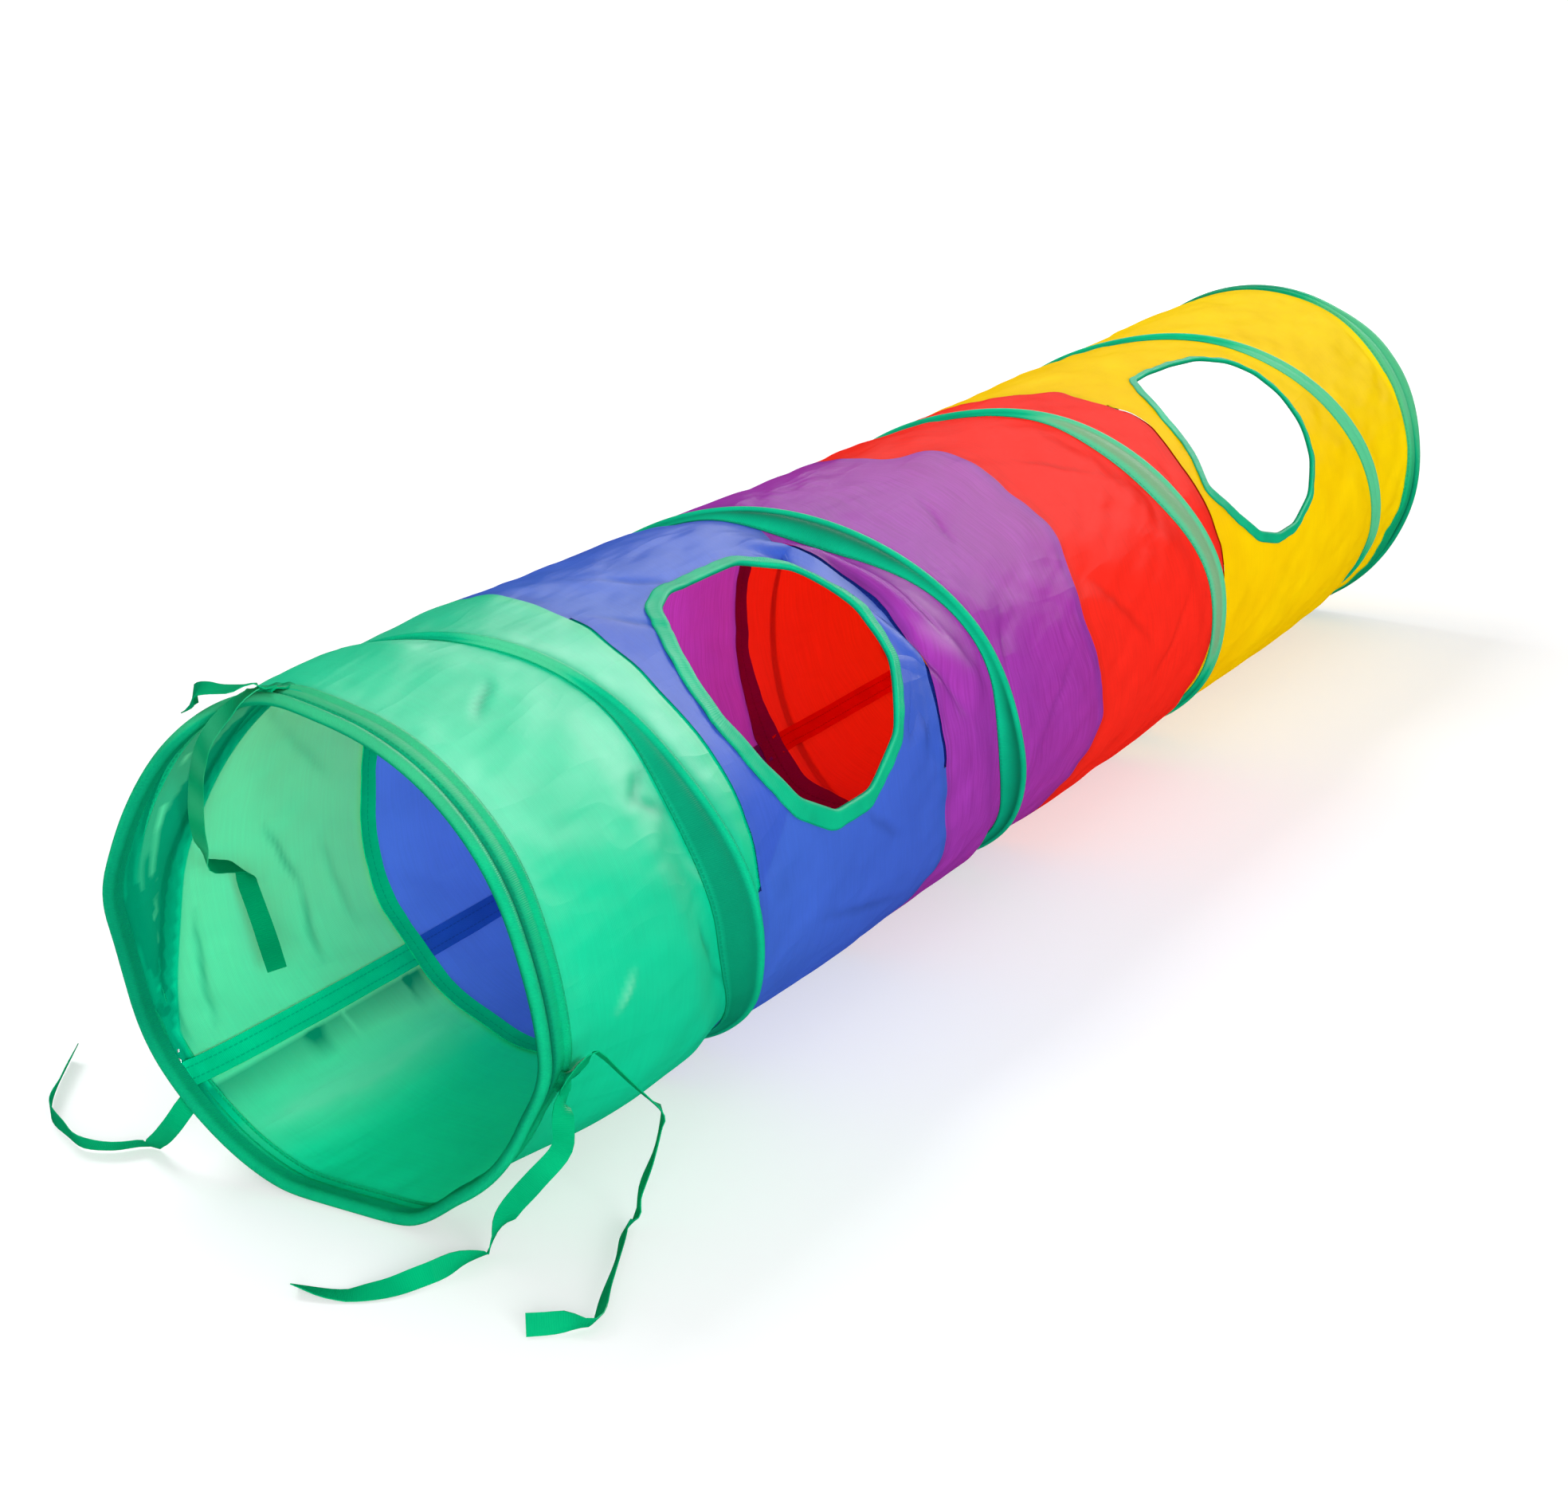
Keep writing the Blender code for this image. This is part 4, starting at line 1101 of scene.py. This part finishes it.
def turn_outwards(obj):
    """Makes an open sheet round the tunnel face away from its middle."""
    middle = Vector((0, 0, AXIS_HEIGHT))
    facing = sum(face.area * (face.center - middle).yz.dot(face.normal.yz) for face in obj.data.polygons)
    if facing < 0:
        obj.data.flip_normals()


def set_shade(obj, shade):
    """Keeps the painted shade of each point of a cloth, for its material: 0 is plain, above 0 darker, below 0
    lighter with painted light.
    """
    layer = obj.data.attributes.new("shade", "FLOAT", "POINT")
    layer.data.foreach_set("value", np.asarray(shade, float))


def make_band(name, length, width, along, across, place, sizes, closed=False, thickness=None):
    """A long band of cloth with a thickness. place(share along, share across) gives points and shade."""
    obj = flat_cloth(name, length, width, along, across)
    points = points_of(obj)
    lengthwise = np.clip(points[:, 0] / length + 0.5, 0, 1)
    crosswise = np.clip(points[:, 1] / width + 0.5, 0, 1)
    laid, shade = place(lengthwise, crosswise)
    set_points(obj, laid)
    set_shade(obj, shade)
    if closed:
        sew_up(obj, 0.00005)
    solid = obj.modifiers.new("Thickness", "SOLIDIFY")
    solid.thickness = thickness or sizes.band_thickness
    solid.offset = 0.0
    select_only(obj)
    bpy.ops.object.modifier_apply(modifier=solid.name)
    edit_whole(obj, bpy.ops.mesh.normals_make_consistent, inside=False)
    return obj


def make_hem(end, sizes, material):
    """The band folded round the mouth, over the edge of the fabric and the hoop of the wire."""
    section = np.array(HEM_SECTION)
    steps = run_lengths(section)
    far = end == "far"

    def place(lengthwise, crosswise):
        angle = SEAM_ANGLE + 360 * lengthwise
        turned = wrapped(angle)
        depth, radius = read_along(crosswise, steps / steps[-1], section).T
        radius = radius + sizes.radius
        outside = radius > sizes.radius - 0.0036
        uneven = 0.0005 * wrinkles(0 * angle, angle, 0, 1, 0.030, 83.0 if far else 71.0)
        depth = depth + uneven * (depth > 0.012)
        if far:
            wide = np.interp(turned, *FAR_HEM)
            depth = np.where(depth > HEM_RIM, HEM_RIM + (depth - HEM_RIM) * wide, depth)
        distance = LENGTH - depth if far else depth
        if far:
            skin = skin_radius(distance, angle, sizes) + 0.0007
            radius = np.where(outside & (depth > 0.016), np.maximum(radius, skin), radius)
        turn = first_turn(angle)
        coil = LENGTH - coil_distance(turn + LAST_TURN - 1) if far else coil_distance(turn)
        over = 0.0011 * bell(depth, coil, 0.0028) * outside * (depth > 0.0098)

        # Painted shade in the groove and on the inner rim, stronger down the sides and weaker at the bottom
        groove = bell(depth, 0.0082, 0.0016) * outside
        rim = 0.45 * ease(sizes.radius - 0.0015, sizes.radius - 0.0040, radius) * (depth < 0.0098)
        beside = np.abs(turned)
        below = (0.35 + 0.65 * ease(20, 80, beside)) * (1 - 0.75 * ease(112, 140, beside))
        shade = (0.75 * groove + rim) * below
        if far:
            # Far hem: a painted highlight from 10 to 100 degrees round, and painted shade on its back half and
            # low down
            pale = 0.55 * plateau(turned, 10, 26, 66, 100)
            back = 0.30 * (1 - ease(0, 20, turned)) + 0.15 * ease(95, 120, turned)
            shade = shade * (1 - pale) + outside * (back - pale)
        else:
            # Near hem: a painted highlight along its top
            shade = shade - 0.25 * outside * (1 - ease(30, 60, beside))
        return tube_points(distance, angle, radius + over, sizes), shade

    obj = make_band(end + "_hem", GIRTH, steps[-1], 240, 44, place, sizes, closed=True)
    return finish_piece(obj, material, "hem_" + end, end + "_end")


def make_casing_tape(sizes, material):
    """The tape over the coil: a sloping face, a ridge over the wire and a narrow flange behind it."""
    turns = np.linspace(0, LAST_TURN, 2001)
    under_hem = 0.0176
    first, last = np.interp((under_hem, LENGTH - under_hem), coil_distance(turns), turns).tolist()
    face_end, ridge_end = 0.5, 0.85  # shares of the tape's width
    ridge_half = 0.0020

    def place(lengthwise, crosswise):
        turn = first + (last - first) * lengthwise
        angle = SEAM_START + 360 * turn
        ridge = coil_distance(turn)
        near_start = np.minimum(tape_station(turn, 1), np.maximum(ridge - HEM_EDGE, 0.0030))
        far_start = np.minimum(0.0032, np.maximum(LENGTH - HEM_EDGE - ridge, 0.0026))
        on_face, on_ridge = crosswise < face_end, crosswise < ridge_end
        offset = np.select(
            [on_face, on_ridge],
            [
                -near_start + (near_start - ridge_half) * crosswise / face_end,
                -ridge_half + 2 * ridge_half * (crosswise - face_end) / (ridge_end - face_end),
            ],
            ridge_half + (far_start - ridge_half) * (crosswise - ridge_end) / (1 - ridge_end),
        )
        distance = ridge + offset
        skin = skin_radius(distance, angle, sizes) + 0.0005
        shoulder = sizes.radius - 0.0022
        slope = skin + (shoulder - skin) * ease(0, face_end, crosswise) ** 0.8
        crown = shoulder + 0.0019 * np.sqrt(np.clip(1 - (offset / 0.0021) ** 2, 0, 1))
        behind = shoulder + (skin - shoulder) * ease(ridge_end, 1.0, crosswise)
        radius = np.select([on_face, on_ridge], [slope, crown], behind)

        # Painted shade in the hollow of the face and darker along both edges; painted light, pale, where light
        # falls on or through it, and a painted see-through colour on turns 2.38 to 2.74
        near_mouth = plateau(turn, 0.45, 0.50, 0.74, 0.80)
        ramp = (1 - near_mouth) * ease(0.04, 0.40, crosswise)
        ramp += 0.65 * near_mouth * ease(0.02, 0.10, crosswise)
        hollow = np.clip(tape_station(turn, 2) / 0.005, 0, 1) * ramp
        edge = 0.5 * bell(crosswise, 0, 0.04) + 0.4 * ease(0.86, 0.98, crosswise)
        face = 1 - ease(0.44, 0.54, crosswise)
        painted_see_through = plateau(turn, 2.38, 2.44, 2.66, 2.74)
        pale = 0.45 * painted_see_through + 0.5 * plateau(turn, 3.40, 3.47, 3.66, 3.72)
        pale = np.maximum(pale, 0.35 * plateau(turn, 0.36, 0.40, 0.43, 0.47))
        shade = hollow * face * 0.95 * (1 - ease(0.1, 0.4, pale)) + edge * (1 - pale) - pale
        shade -= 0.5 * painted_see_through * face * ease(0.10, 0.22, crosswise)
        return tube_points(distance, angle, radius, sizes), shade

    obj = make_band("coil_tape", GIRTH * (last - first), 0.024, 1100, 20, place, sizes)
    return finish_piece(obj, material, "casing_tape", "near_end", sizes)


def make_binding(name, sizes, material):
    """The strip folded over the edge of a peep hole, on both faces of the fabric."""
    corners, middle, wide, narrow = HOLES[name]
    outline, normals, length = rounded_outline(corners, 0.0026)
    widths = narrow + (wide - narrow) * np.clip(0.5 + 0.5 * normals @ np.array([-0.85, 0.52]), 0, 1)
    rim = np.column_stack([outline, normals, widths])
    rim = np.vstack([rim, rim[:1]])
    steps = np.arange(len(rim))
    shares = np.linspace(0, 1, len(BINDING_SECTION))

    def place(lengthwise, crosswise):
        at = lengthwise * steps[-1]
        x, y, out_x, out_y, width = read_along(at, steps, rim).T
        offset, lift = read_along(crosswise, shares, BINDING_SECTION).T
        ruffle = 0.0004 * np.sin(at * 0.83) * np.sin(at * 0.31 + 1.0) * offset
        distance = middle + x + out_x * offset * width
        angle = HOLE_ANGLE + np.degrees((y + out_y * offset * width) / FRAME_RADIUS)
        # Painted shade along the outer edge on top and on the half folded under the fabric
        shade = 0.45 * bell(crosswise, 0.02, 0.04) + 0.5 * ease(0.5, 0.6, crosswise)
        return on_skin(distance, angle, lift + ruffle, sizes), shade

    obj = make_band(name + "_hole_binding", length, 0.026, steps[-1], 22, place, sizes, closed=True)
    return finish_piece(obj, material, "window_binding_" + name, name + "_section", sizes)


def make_seam_strip(index, sizes, material):
    """The lengthwise seam of a panel, on its inside."""
    name = PANELS[index]
    under_hem, under_ring = 0.0085, sizes.ring_width / 2
    start, end = (float(meeting_line(i, np.array([SEAM_MIDDLE]))[0]) for i in (index, index + 1))
    start += under_hem if index == 0 else under_ring
    end -= under_hem if index == len(PANELS) - 1 else under_ring
    half_turn = math.degrees(sizes.strip_width / 2 / FRAME_RADIUS)

    def place(lengthwise, crosswise):
        distance = start + (end - start) * lengthwise
        angle = SEAM_MIDDLE + 1.8 * np.exp(-distance / 0.05) + (2 * crosswise - 1) * half_turn
        curl = 0.0004 * np.abs(2 * crosswise - 1) ** 3
        return on_skin(distance, angle, -0.0012 - curl, sizes), np.zeros(len(distance))

    steps = round((end - start) / 0.003)
    obj = make_band(name + "_seam", end - start, sizes.strip_width, steps, 6, place, sizes)
    return finish_piece(obj, material, "seam_strip_" + name, SECTIONS[index], sizes)


def make_seam_ring(index, sizes, material):
    """The turned-in edges of two panels, lying flat inside the tunnel."""
    name, following = PANELS[index - 1], PANELS[index]

    def place(lengthwise, crosswise):
        angle = SEAM_ANGLE + 360 * lengthwise
        turned = wrapped(angle)
        width = np.full(len(angle), sizes.ring_width)
        if name == "purple":  # it is wider below, on the far side
            width *= 1.1 + 0.9 * ease(-100, -140, turned) * (1 - ease(170, 110, turned) * (turned > 0))
        distance = meeting_line(index, angle) + (crosswise - 0.5) * width
        curl = 0.0005 * np.abs(2 * crosswise - 1) ** 3
        return on_skin(distance, angle, -0.0013 - curl, sizes), np.zeros(len(distance))

    obj = make_band(f"{name}_{following}_seam", GIRTH, sizes.ring_width, 240, 6, place, sizes, closed=True)
    node = f"seam_ring_{name}_{following}"
    return finish_piece(obj, material, node, SECTIONS[index], sizes)


def make_tab(node, angle, sizes, material):
    """The sewn middle of a ribbon tie, folded over the hem and flush with the mouth."""
    half_turn = math.degrees(sizes.tab_width / 2 / FRAME_RADIUS)
    section = np.array(TAB_SECTION)
    steps = run_lengths(section)
    forward = float(round_table(MOUTH_SWAY, angle, 5.0))

    def place(lengthwise, crosswise):
        depth, radius = read_along(crosswise, steps / steps[-1], section).T
        ripple = np.cos(lengthwise * 9.0)
        radius = sizes.radius + radius + 0.0003 * ripple
        around = angle + (2 * lengthwise - 1) * half_turn
        # Painted shade over the whole tab, darker where its ripples stand out
        return tube_points(depth - 0.0006 - forward, around, radius, sizes), 0.3 + 0.3 * ripple

    obj = make_band(node[4:] + "_piece", sizes.tab_width, steps[-1], 8, 14, place, sizes, thickness=0.0008)
    return finish_piece(obj, material, node, "near_end")


def make_wire(sizes, material):
    """The spring wire: a hoop in each hem and the coil between them."""
    turns = np.linspace(-1, LAST_TURN + 1, (LAST_TURN + 2) * 90 + 1)
    near_hoop = WIRE_DEPTH + (turns + 1) * HOOP_ADVANCE
    far_hoop = LENGTH - WIRE_DEPTH - (LAST_TURN + 1 - turns) * HOOP_ADVANCE
    distance = np.select([turns < 0, turns > LAST_TURN], [near_hoop, far_hoop], coil_distance(turns))
    radius = np.full(len(turns), sizes.radius - WIRE_DEPTH)
    line = tube_points(distance, SEAM_START + 360 * turns, radius, sizes)
    deselect_all()
    bpy.ops.curve.primitive_bezier_curve_add()
    obj = bpy.context.object
    curve = obj.data
    curve.splines.clear()
    spline = curve.splines.new("POLY")
    spline.points.add(len(line) - 1)
    spline.points.foreach_set("co", np.hstack([line, np.ones((len(line), 1))]).ravel())
    curve.bevel_depth = sizes.wire_radius
    curve.bevel_resolution = 2
    curve.use_fill_caps = True
    obj.name = "coil_wire"
    bpy.ops.object.convert(target="MESH")
    obj = bpy.context.object
    obj.data.name = "coil_wire"
    return finish_piece(obj, material, "spring_wire", "near_end", sizes)


def eased_route(route, spacing):
    """Even points along the smooth curve through a route, and the way the ribbon's face looks at each."""
    spots, faces = np.array(route, float).transpose(1, 0, 2)
    padded = np.vstack([spots[:1], spots, spots[-1:]])
    rows = []
    for i in range(len(spots) - 1):
        a, b, c, d = padded[i : i + 4]
        for t in np.linspace(0, 1, 24, endpoint=False):
            curve = 2 * b + (c - a) * t + (2 * a - 5 * b + 4 * c - d) * t**2 + (3 * b - a - 3 * c + d) * t**3
            way = faces[i] + (faces[i + 1] - faces[i]) * (t * t * (3 - 2 * t))
            rows.append(np.hstack([0.5 * curve, way]))
    rows = np.vstack([*rows, np.hstack([spots[-1], faces[-1]])])
    lengths = run_lengths(rows[:, :3])
    at = np.linspace(0, lengths[-1], max(15, round(lengths[-1] / spacing)) + 1)
    even = read_along(at, lengths, rows)
    return even[:, :3], even[:, 3:]


def keep_clear(points, across, sizes):
    """Lifts a ribbon's line off the floor and holds it inside the fabric where it hangs in the tunnel."""
    half = sizes.ribbon_width / 2
    x, y, z = points.T
    floor = FLOOR_CLEARANCE + np.abs(across[:, 2]) * half
    z = np.where(z < 0.006, floor, np.maximum(z, floor))
    distance = x - NEAR_MOUTH
    level = z - AXIS_HEIGHT
    angle = np.degrees(np.arctan2(-y, level))
    radius = np.hypot(y, level)
    skins = [skin_radius(np.maximum(distance + shift, 0.02), angle, sizes) for shift in (-half, 0, half)]
    inner = np.minimum.reduce(skins) - 0.0016
    hanging_inside = (distance > 0.012) & (radius < 0.119) & (radius > inner)
    share = np.where(hanging_inside, inner / radius, 1.0)
    return np.stack([x, y * share, AXIS_HEIGHT + level * share], axis=-1)


def ribbon_sides(points, facing):
    """Directions across a ribbon at each of its points."""
    along = np.gradient(points, axis=0)
    across = np.cross(along, facing)
    across /= np.maximum(np.linalg.norm(across, axis=1), 1e-9)[:, None]
    for i in range(1, len(across)):
        if across[i] @ across[i - 1] < 0:
            across[i] = -across[i]
    for _ in range(2):
        across[1:-1] = (across[:-2] + 2 * across[1:-1] + across[2:]) / 4
    return across / np.linalg.norm(across, axis=1)[:, None]


def make_ribbon(name, sizes, material):
    """A free ribbon: a flat strip that turns along its route, lying on the floor or hanging."""
    node, route, lay, painted_shade_before, painted_shade_after = RIBBONS[name]
    points, facing = eased_route(route, 0.004)
    points = keep_clear(points, ribbon_sides(points, facing), sizes)
    across = ribbon_sides(points, facing)
    length = float(run_lengths(points)[-1])
    steps = np.arange(len(points))
    count = len(points) - 1

    def place(lengthwise, crosswise):
        at = lengthwise * count
        line, side = read_along(at, steps, points), read_along(at, steps, across)
        edge = (crosswise - 0.5) * sizes.ribbon_width * (1 - 0.06 * np.abs(np.sin(at * 0.23)))
        # Painted shade that changes at the half turn and waves along the ribbon; below 0 it is painted light
        shade = painted_shade_before + (painted_shade_after - painted_shade_before) * ease(0.60, 0.66, lengthwise) + 0.1 * np.sin(at * 0.37) ** 2
        return line + side * edge[:, None], shade

    thickness = sizes.ribbon_thickness
    obj = make_band(name, length, sizes.ribbon_width, count, 4, place, sizes, thickness=thickness)
    finish_piece(obj, material, node, "near_end")
    return obj


# Operators


def sizes_of(context):
    return context.scene.tunnel_sizes


def colours_of(context):
    return context.scene.tunnel_colours


class TUNNEL_OT_camera(Operator):
    """Add the camera at the angle of the photograph"""

    bl_idname = "tunnel.camera"
    bl_label = "Camera"

    def execute(self, context):
        deselect_all()
        bpy.ops.object.camera_add()
        camera = context.object
        camera.name = "photograph_camera"
        turn = Matrix((CAMERA_RIGHT, CAMERA_UP, -Vector(CAMERA_AHEAD))).transposed().to_4x4()
        camera.matrix_world = Matrix.Translation(CAMERA_PLACE) @ turn
        camera.data.lens = CAMERA_LENS
        camera.data.sensor_width = 36
        camera.data.sensor_fit = "HORIZONTAL"
        camera.data.clip_start = 0.05
        context.scene.camera = camera
        return {"FINISHED"}


class TUNNEL_OT_ribbons(Operator):
    """Add the five free ends of the ribbon ties"""

    bl_idname = "tunnel.ribbons"
    bl_label = "Ribbon ties"

    def execute(self, context):
        sizes, colours = sizes_of(context), colours_of(context)
        material = band_material("tie_ribbon", colours.ribbon, colours.band_light, (), 0.25)
        for name in RIBBONS:
            make_ribbon(name, sizes, material)
        return {"FINISHED"}


class TUNNEL_OT_panels(Operator):
    """Add the five fabric panels, with the peep holes cut out"""

    bl_idname = "tunnel.panels"
    bl_label = "Fabric panels"

    def execute(self, context):
        sizes, colours = sizes_of(context), colours_of(context)
        for index, name in enumerate(PANELS):
            colour = getattr(colours, name)
            light = getattr(colours, name + "_light")
            back = colours.green_back_painted_light if name == "green" else light
            material = panel_material(name, colour, light, back, *PANEL_LOOKS[name], seed=1.0 + index)
            make_panel(index, sizes, material)
        return {"FINISHED"}


class TUNNEL_OT_hems(Operator):
    """Add the hem round each mouth and the sewn middles of the ties"""

    bl_idname = "tunnel.hems"
    bl_label = "Hems and tabs"

    def execute(self, context):
        sizes, colours = sizes_of(context), colours_of(context)
        material = band_material("hem_tape", colours.band, colours.band_light, (0.0012, 0.0125), 0.5)
        for end in ("near", "far"):
            make_hem(end, sizes, material)
        tab_material = band_material("tab_tape", colours.ribbon, colours.band_light, (0.003, 0.009), 0.15)
        for node, angle in TABS.items():
            make_tab(node, angle, sizes, tab_material)
        return {"FINISHED"}


class TUNNEL_OT_coil(Operator):
    """Add the casing tape and the spring wire inside it"""

    bl_idname = "tunnel.coil"
    bl_label = "Coil and casing tape"

    def execute(self, context):
        sizes, colours = sizes_of(context), colours_of(context)
        material = band_material("coil_tape", colours.band, colours.band_light, (0.0009, 0.0232))
        make_casing_tape(sizes, material)
        make_wire(sizes, steel_material(colours.steel))
        return {"FINISHED"}


class TUNNEL_OT_bindings(Operator):
    """Add the folded bindings of the two peep holes"""

    bl_idname = "tunnel.bindings"
    bl_label = "Peep hole bindings"

    def execute(self, context):
        sizes, colours = sizes_of(context), colours_of(context)
        material = band_material("hole_tape", colours.band, colours.band_light, (0.0015, 0.0245))
        for name in HOLES:
            make_binding(name, sizes, material)
        return {"FINISHED"}


class TUNNEL_OT_seams(Operator):
    """Add the seams inside the tunnel, lengthwise and between the panels"""

    bl_idname = "tunnel.seams"
    bl_label = "Seams"

    def execute(self, context):
        sizes = sizes_of(context)
        for index, name in enumerate(PANELS):
            strip, ring = (srgb(*levels) for levels in SEAM_LEVELS[name])
            material = band_material(name + "_seam_cloth", strip, strip, (0.0035, 0.0095), 0.3, 0.0)
            make_seam_strip(index, sizes, material)
            if index + 1 < len(PANELS):
                material = band_material(name + "_ring_cloth", ring, ring, (0.006,), 0.2, 0.0)
                make_seam_ring(index + 1, sizes, material)
        return {"FINISHED"}


def floor_material(colour):
    """White paper that fades into the white surroundings away from the tunnel."""
    material, tree, output = new_material("floor_paper")
    places = tree.nodes.new("ShaderNodeTexCoord").outputs["Object"]
    paper = add_node(tree, "ShaderNodeBsdfDiffuse", Color=mottled(tree, places, colour, 0.01, 2.0))
    parts = add_node(tree, "ShaderNodeSeparateXYZ", Vector=places)
    squares = [math_node(tree, "POWER", parts.outputs[axis], 2.0) for axis in ("X", "Y")]
    reach = math_node(tree, "SQRT", math_node(tree, "ADD", *squares))
    away = add_node(
        tree, "ShaderNodeMapRange", Value=reach, From_Min=0.9, From_Max=2.2, To_Min=0.46, To_Max=1.0,
    )
    away.interpolation_type = "SMOOTHSTEP"
    glow = add_node(tree, "ShaderNodeEmission", Color=(1, 1, 1), Strength=away.outputs["Result"])
    dim = add_node(tree, "ShaderNodeBsdfDiffuse", Color=(0.60, 0.60, 0.61))
    lifted = tree.nodes.new("ShaderNodeAddShader")
    tree.links.new(dim.outputs[0], lifted.inputs[0])
    tree.links.new(glow.outputs[0], lifted.inputs[1])
    shader = mix_shaders(tree, seen_rays(tree), paper, lifted)
    tree.links.new(shader.outputs[0], output.inputs["Surface"])
    return material


def add_softbox(name, place, target, width, height, power):
    deselect_all()
    bpy.ops.object.light_add(type="AREA", location=place)
    lamp = bpy.context.object
    lamp.name = name
    lamp.data.shape = "RECTANGLE"
    lamp.data.size = width
    lamp.data.size_y = height
    lamp.data.energy = power
    lamp.rotation_euler = (Vector(target) - Vector(place)).to_track_quat("-Z", "Y").to_euler()
    lamp.visible_camera = False
    return lamp


def white_world():
    """A white background that lights the tunnel less than it shows."""
    world = bpy.data.worlds.new("studio")
    world.use_nodes = True
    tree = world.node_tree
    tree.nodes.clear()
    around = add_node(tree, "ShaderNodeBackground", Color=(0.98, 0.98, 1.0), Strength=0.42)
    shown = add_node(tree, "ShaderNodeBackground", Color=(1, 1, 1), Strength=1.0)
    output = tree.nodes.new("ShaderNodeOutputWorld")
    tree.links.new(mix_shaders(tree, seen_rays(tree), around, shown).outputs[0], output.inputs["Surface"])
    return world


class TUNNEL_OT_stage(Operator):
    """Add the floor, the lamps and the surroundings"""

    bl_idname = "tunnel.stage"
    bl_label = "Stage"

    def execute(self, context):
        deselect_all()
        bpy.ops.mesh.primitive_plane_add(size=FLOOR_SIZE, location=(0, 0, -FLOOR_DEPTH))
        bpy.ops.object.transform_apply(location=True)
        floor = context.object
        floor.name = "floor"
        floor.data.materials.append(floor_material(colours_of(context).floor))
        for row in LAMPS:
            lamp = add_softbox(*row)
            for_gloss = lamp.name == "gloss_card"
            lamp.visible_glossy = for_gloss
            lamp.visible_diffuse = not for_gloss
            lamp.visible_transmission = not for_gloss
        context.scene.world = white_world()
        context.scene.view_settings.view_transform = "Standard"
        return {"FINISHED"}


class TUNNEL_PT_panel(Panel):
    """Sizes, colours and pieces of the tunnel"""

    bl_label = "Cat Tunnel"
    bl_idname = "TUNNEL_PT_panel"
    bl_space_type = "VIEW_3D"
    bl_region_type = "UI"
    bl_category = "Cat Tunnel"

    def draw(self, context):
        layout = self.layout
        for owner, groups in ((sizes_of(context), TunnelSizes), (colours_of(context), TunnelColours)):
            column = layout.column(align=True)
            for key in groups.__annotations__:
                column.prop(owner, key)
        column = layout.column(align=True)
        for operator in OPERATORS:
            column.operator(operator.bl_idname)


OPERATORS = (
    TUNNEL_OT_camera,
    TUNNEL_OT_ribbons,
    TUNNEL_OT_panels,
    TUNNEL_OT_hems,
    TUNNEL_OT_coil,
    TUNNEL_OT_bindings,
    TUNNEL_OT_seams,
    TUNNEL_OT_stage,
)
CLASSES = (TunnelSizes, TunnelColours, *OPERATORS, TUNNEL_PT_panel)


def register():
    for item in CLASSES:
        bpy.utils.register_class(item)
    bpy.types.Scene.tunnel_sizes = PointerProperty(type=TunnelSizes)
    bpy.types.Scene.tunnel_colours = PointerProperty(type=TunnelColours)


def unregister():
    del bpy.types.Scene.tunnel_colours
    del bpy.types.Scene.tunnel_sizes
    for item in reversed(CLASSES):
        bpy.utils.unregister_class(item)


def main():
    register()
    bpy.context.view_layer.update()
    bpy.ops.tunnel.camera()
    bpy.ops.tunnel.ribbons()
    bpy.ops.tunnel.panels()
    bpy.ops.tunnel.hems()
    bpy.ops.tunnel.coil()
    bpy.ops.tunnel.bindings()
    bpy.ops.tunnel.seams()
    bpy.ops.tunnel.stage()


if __name__ == "__main__":
    main()
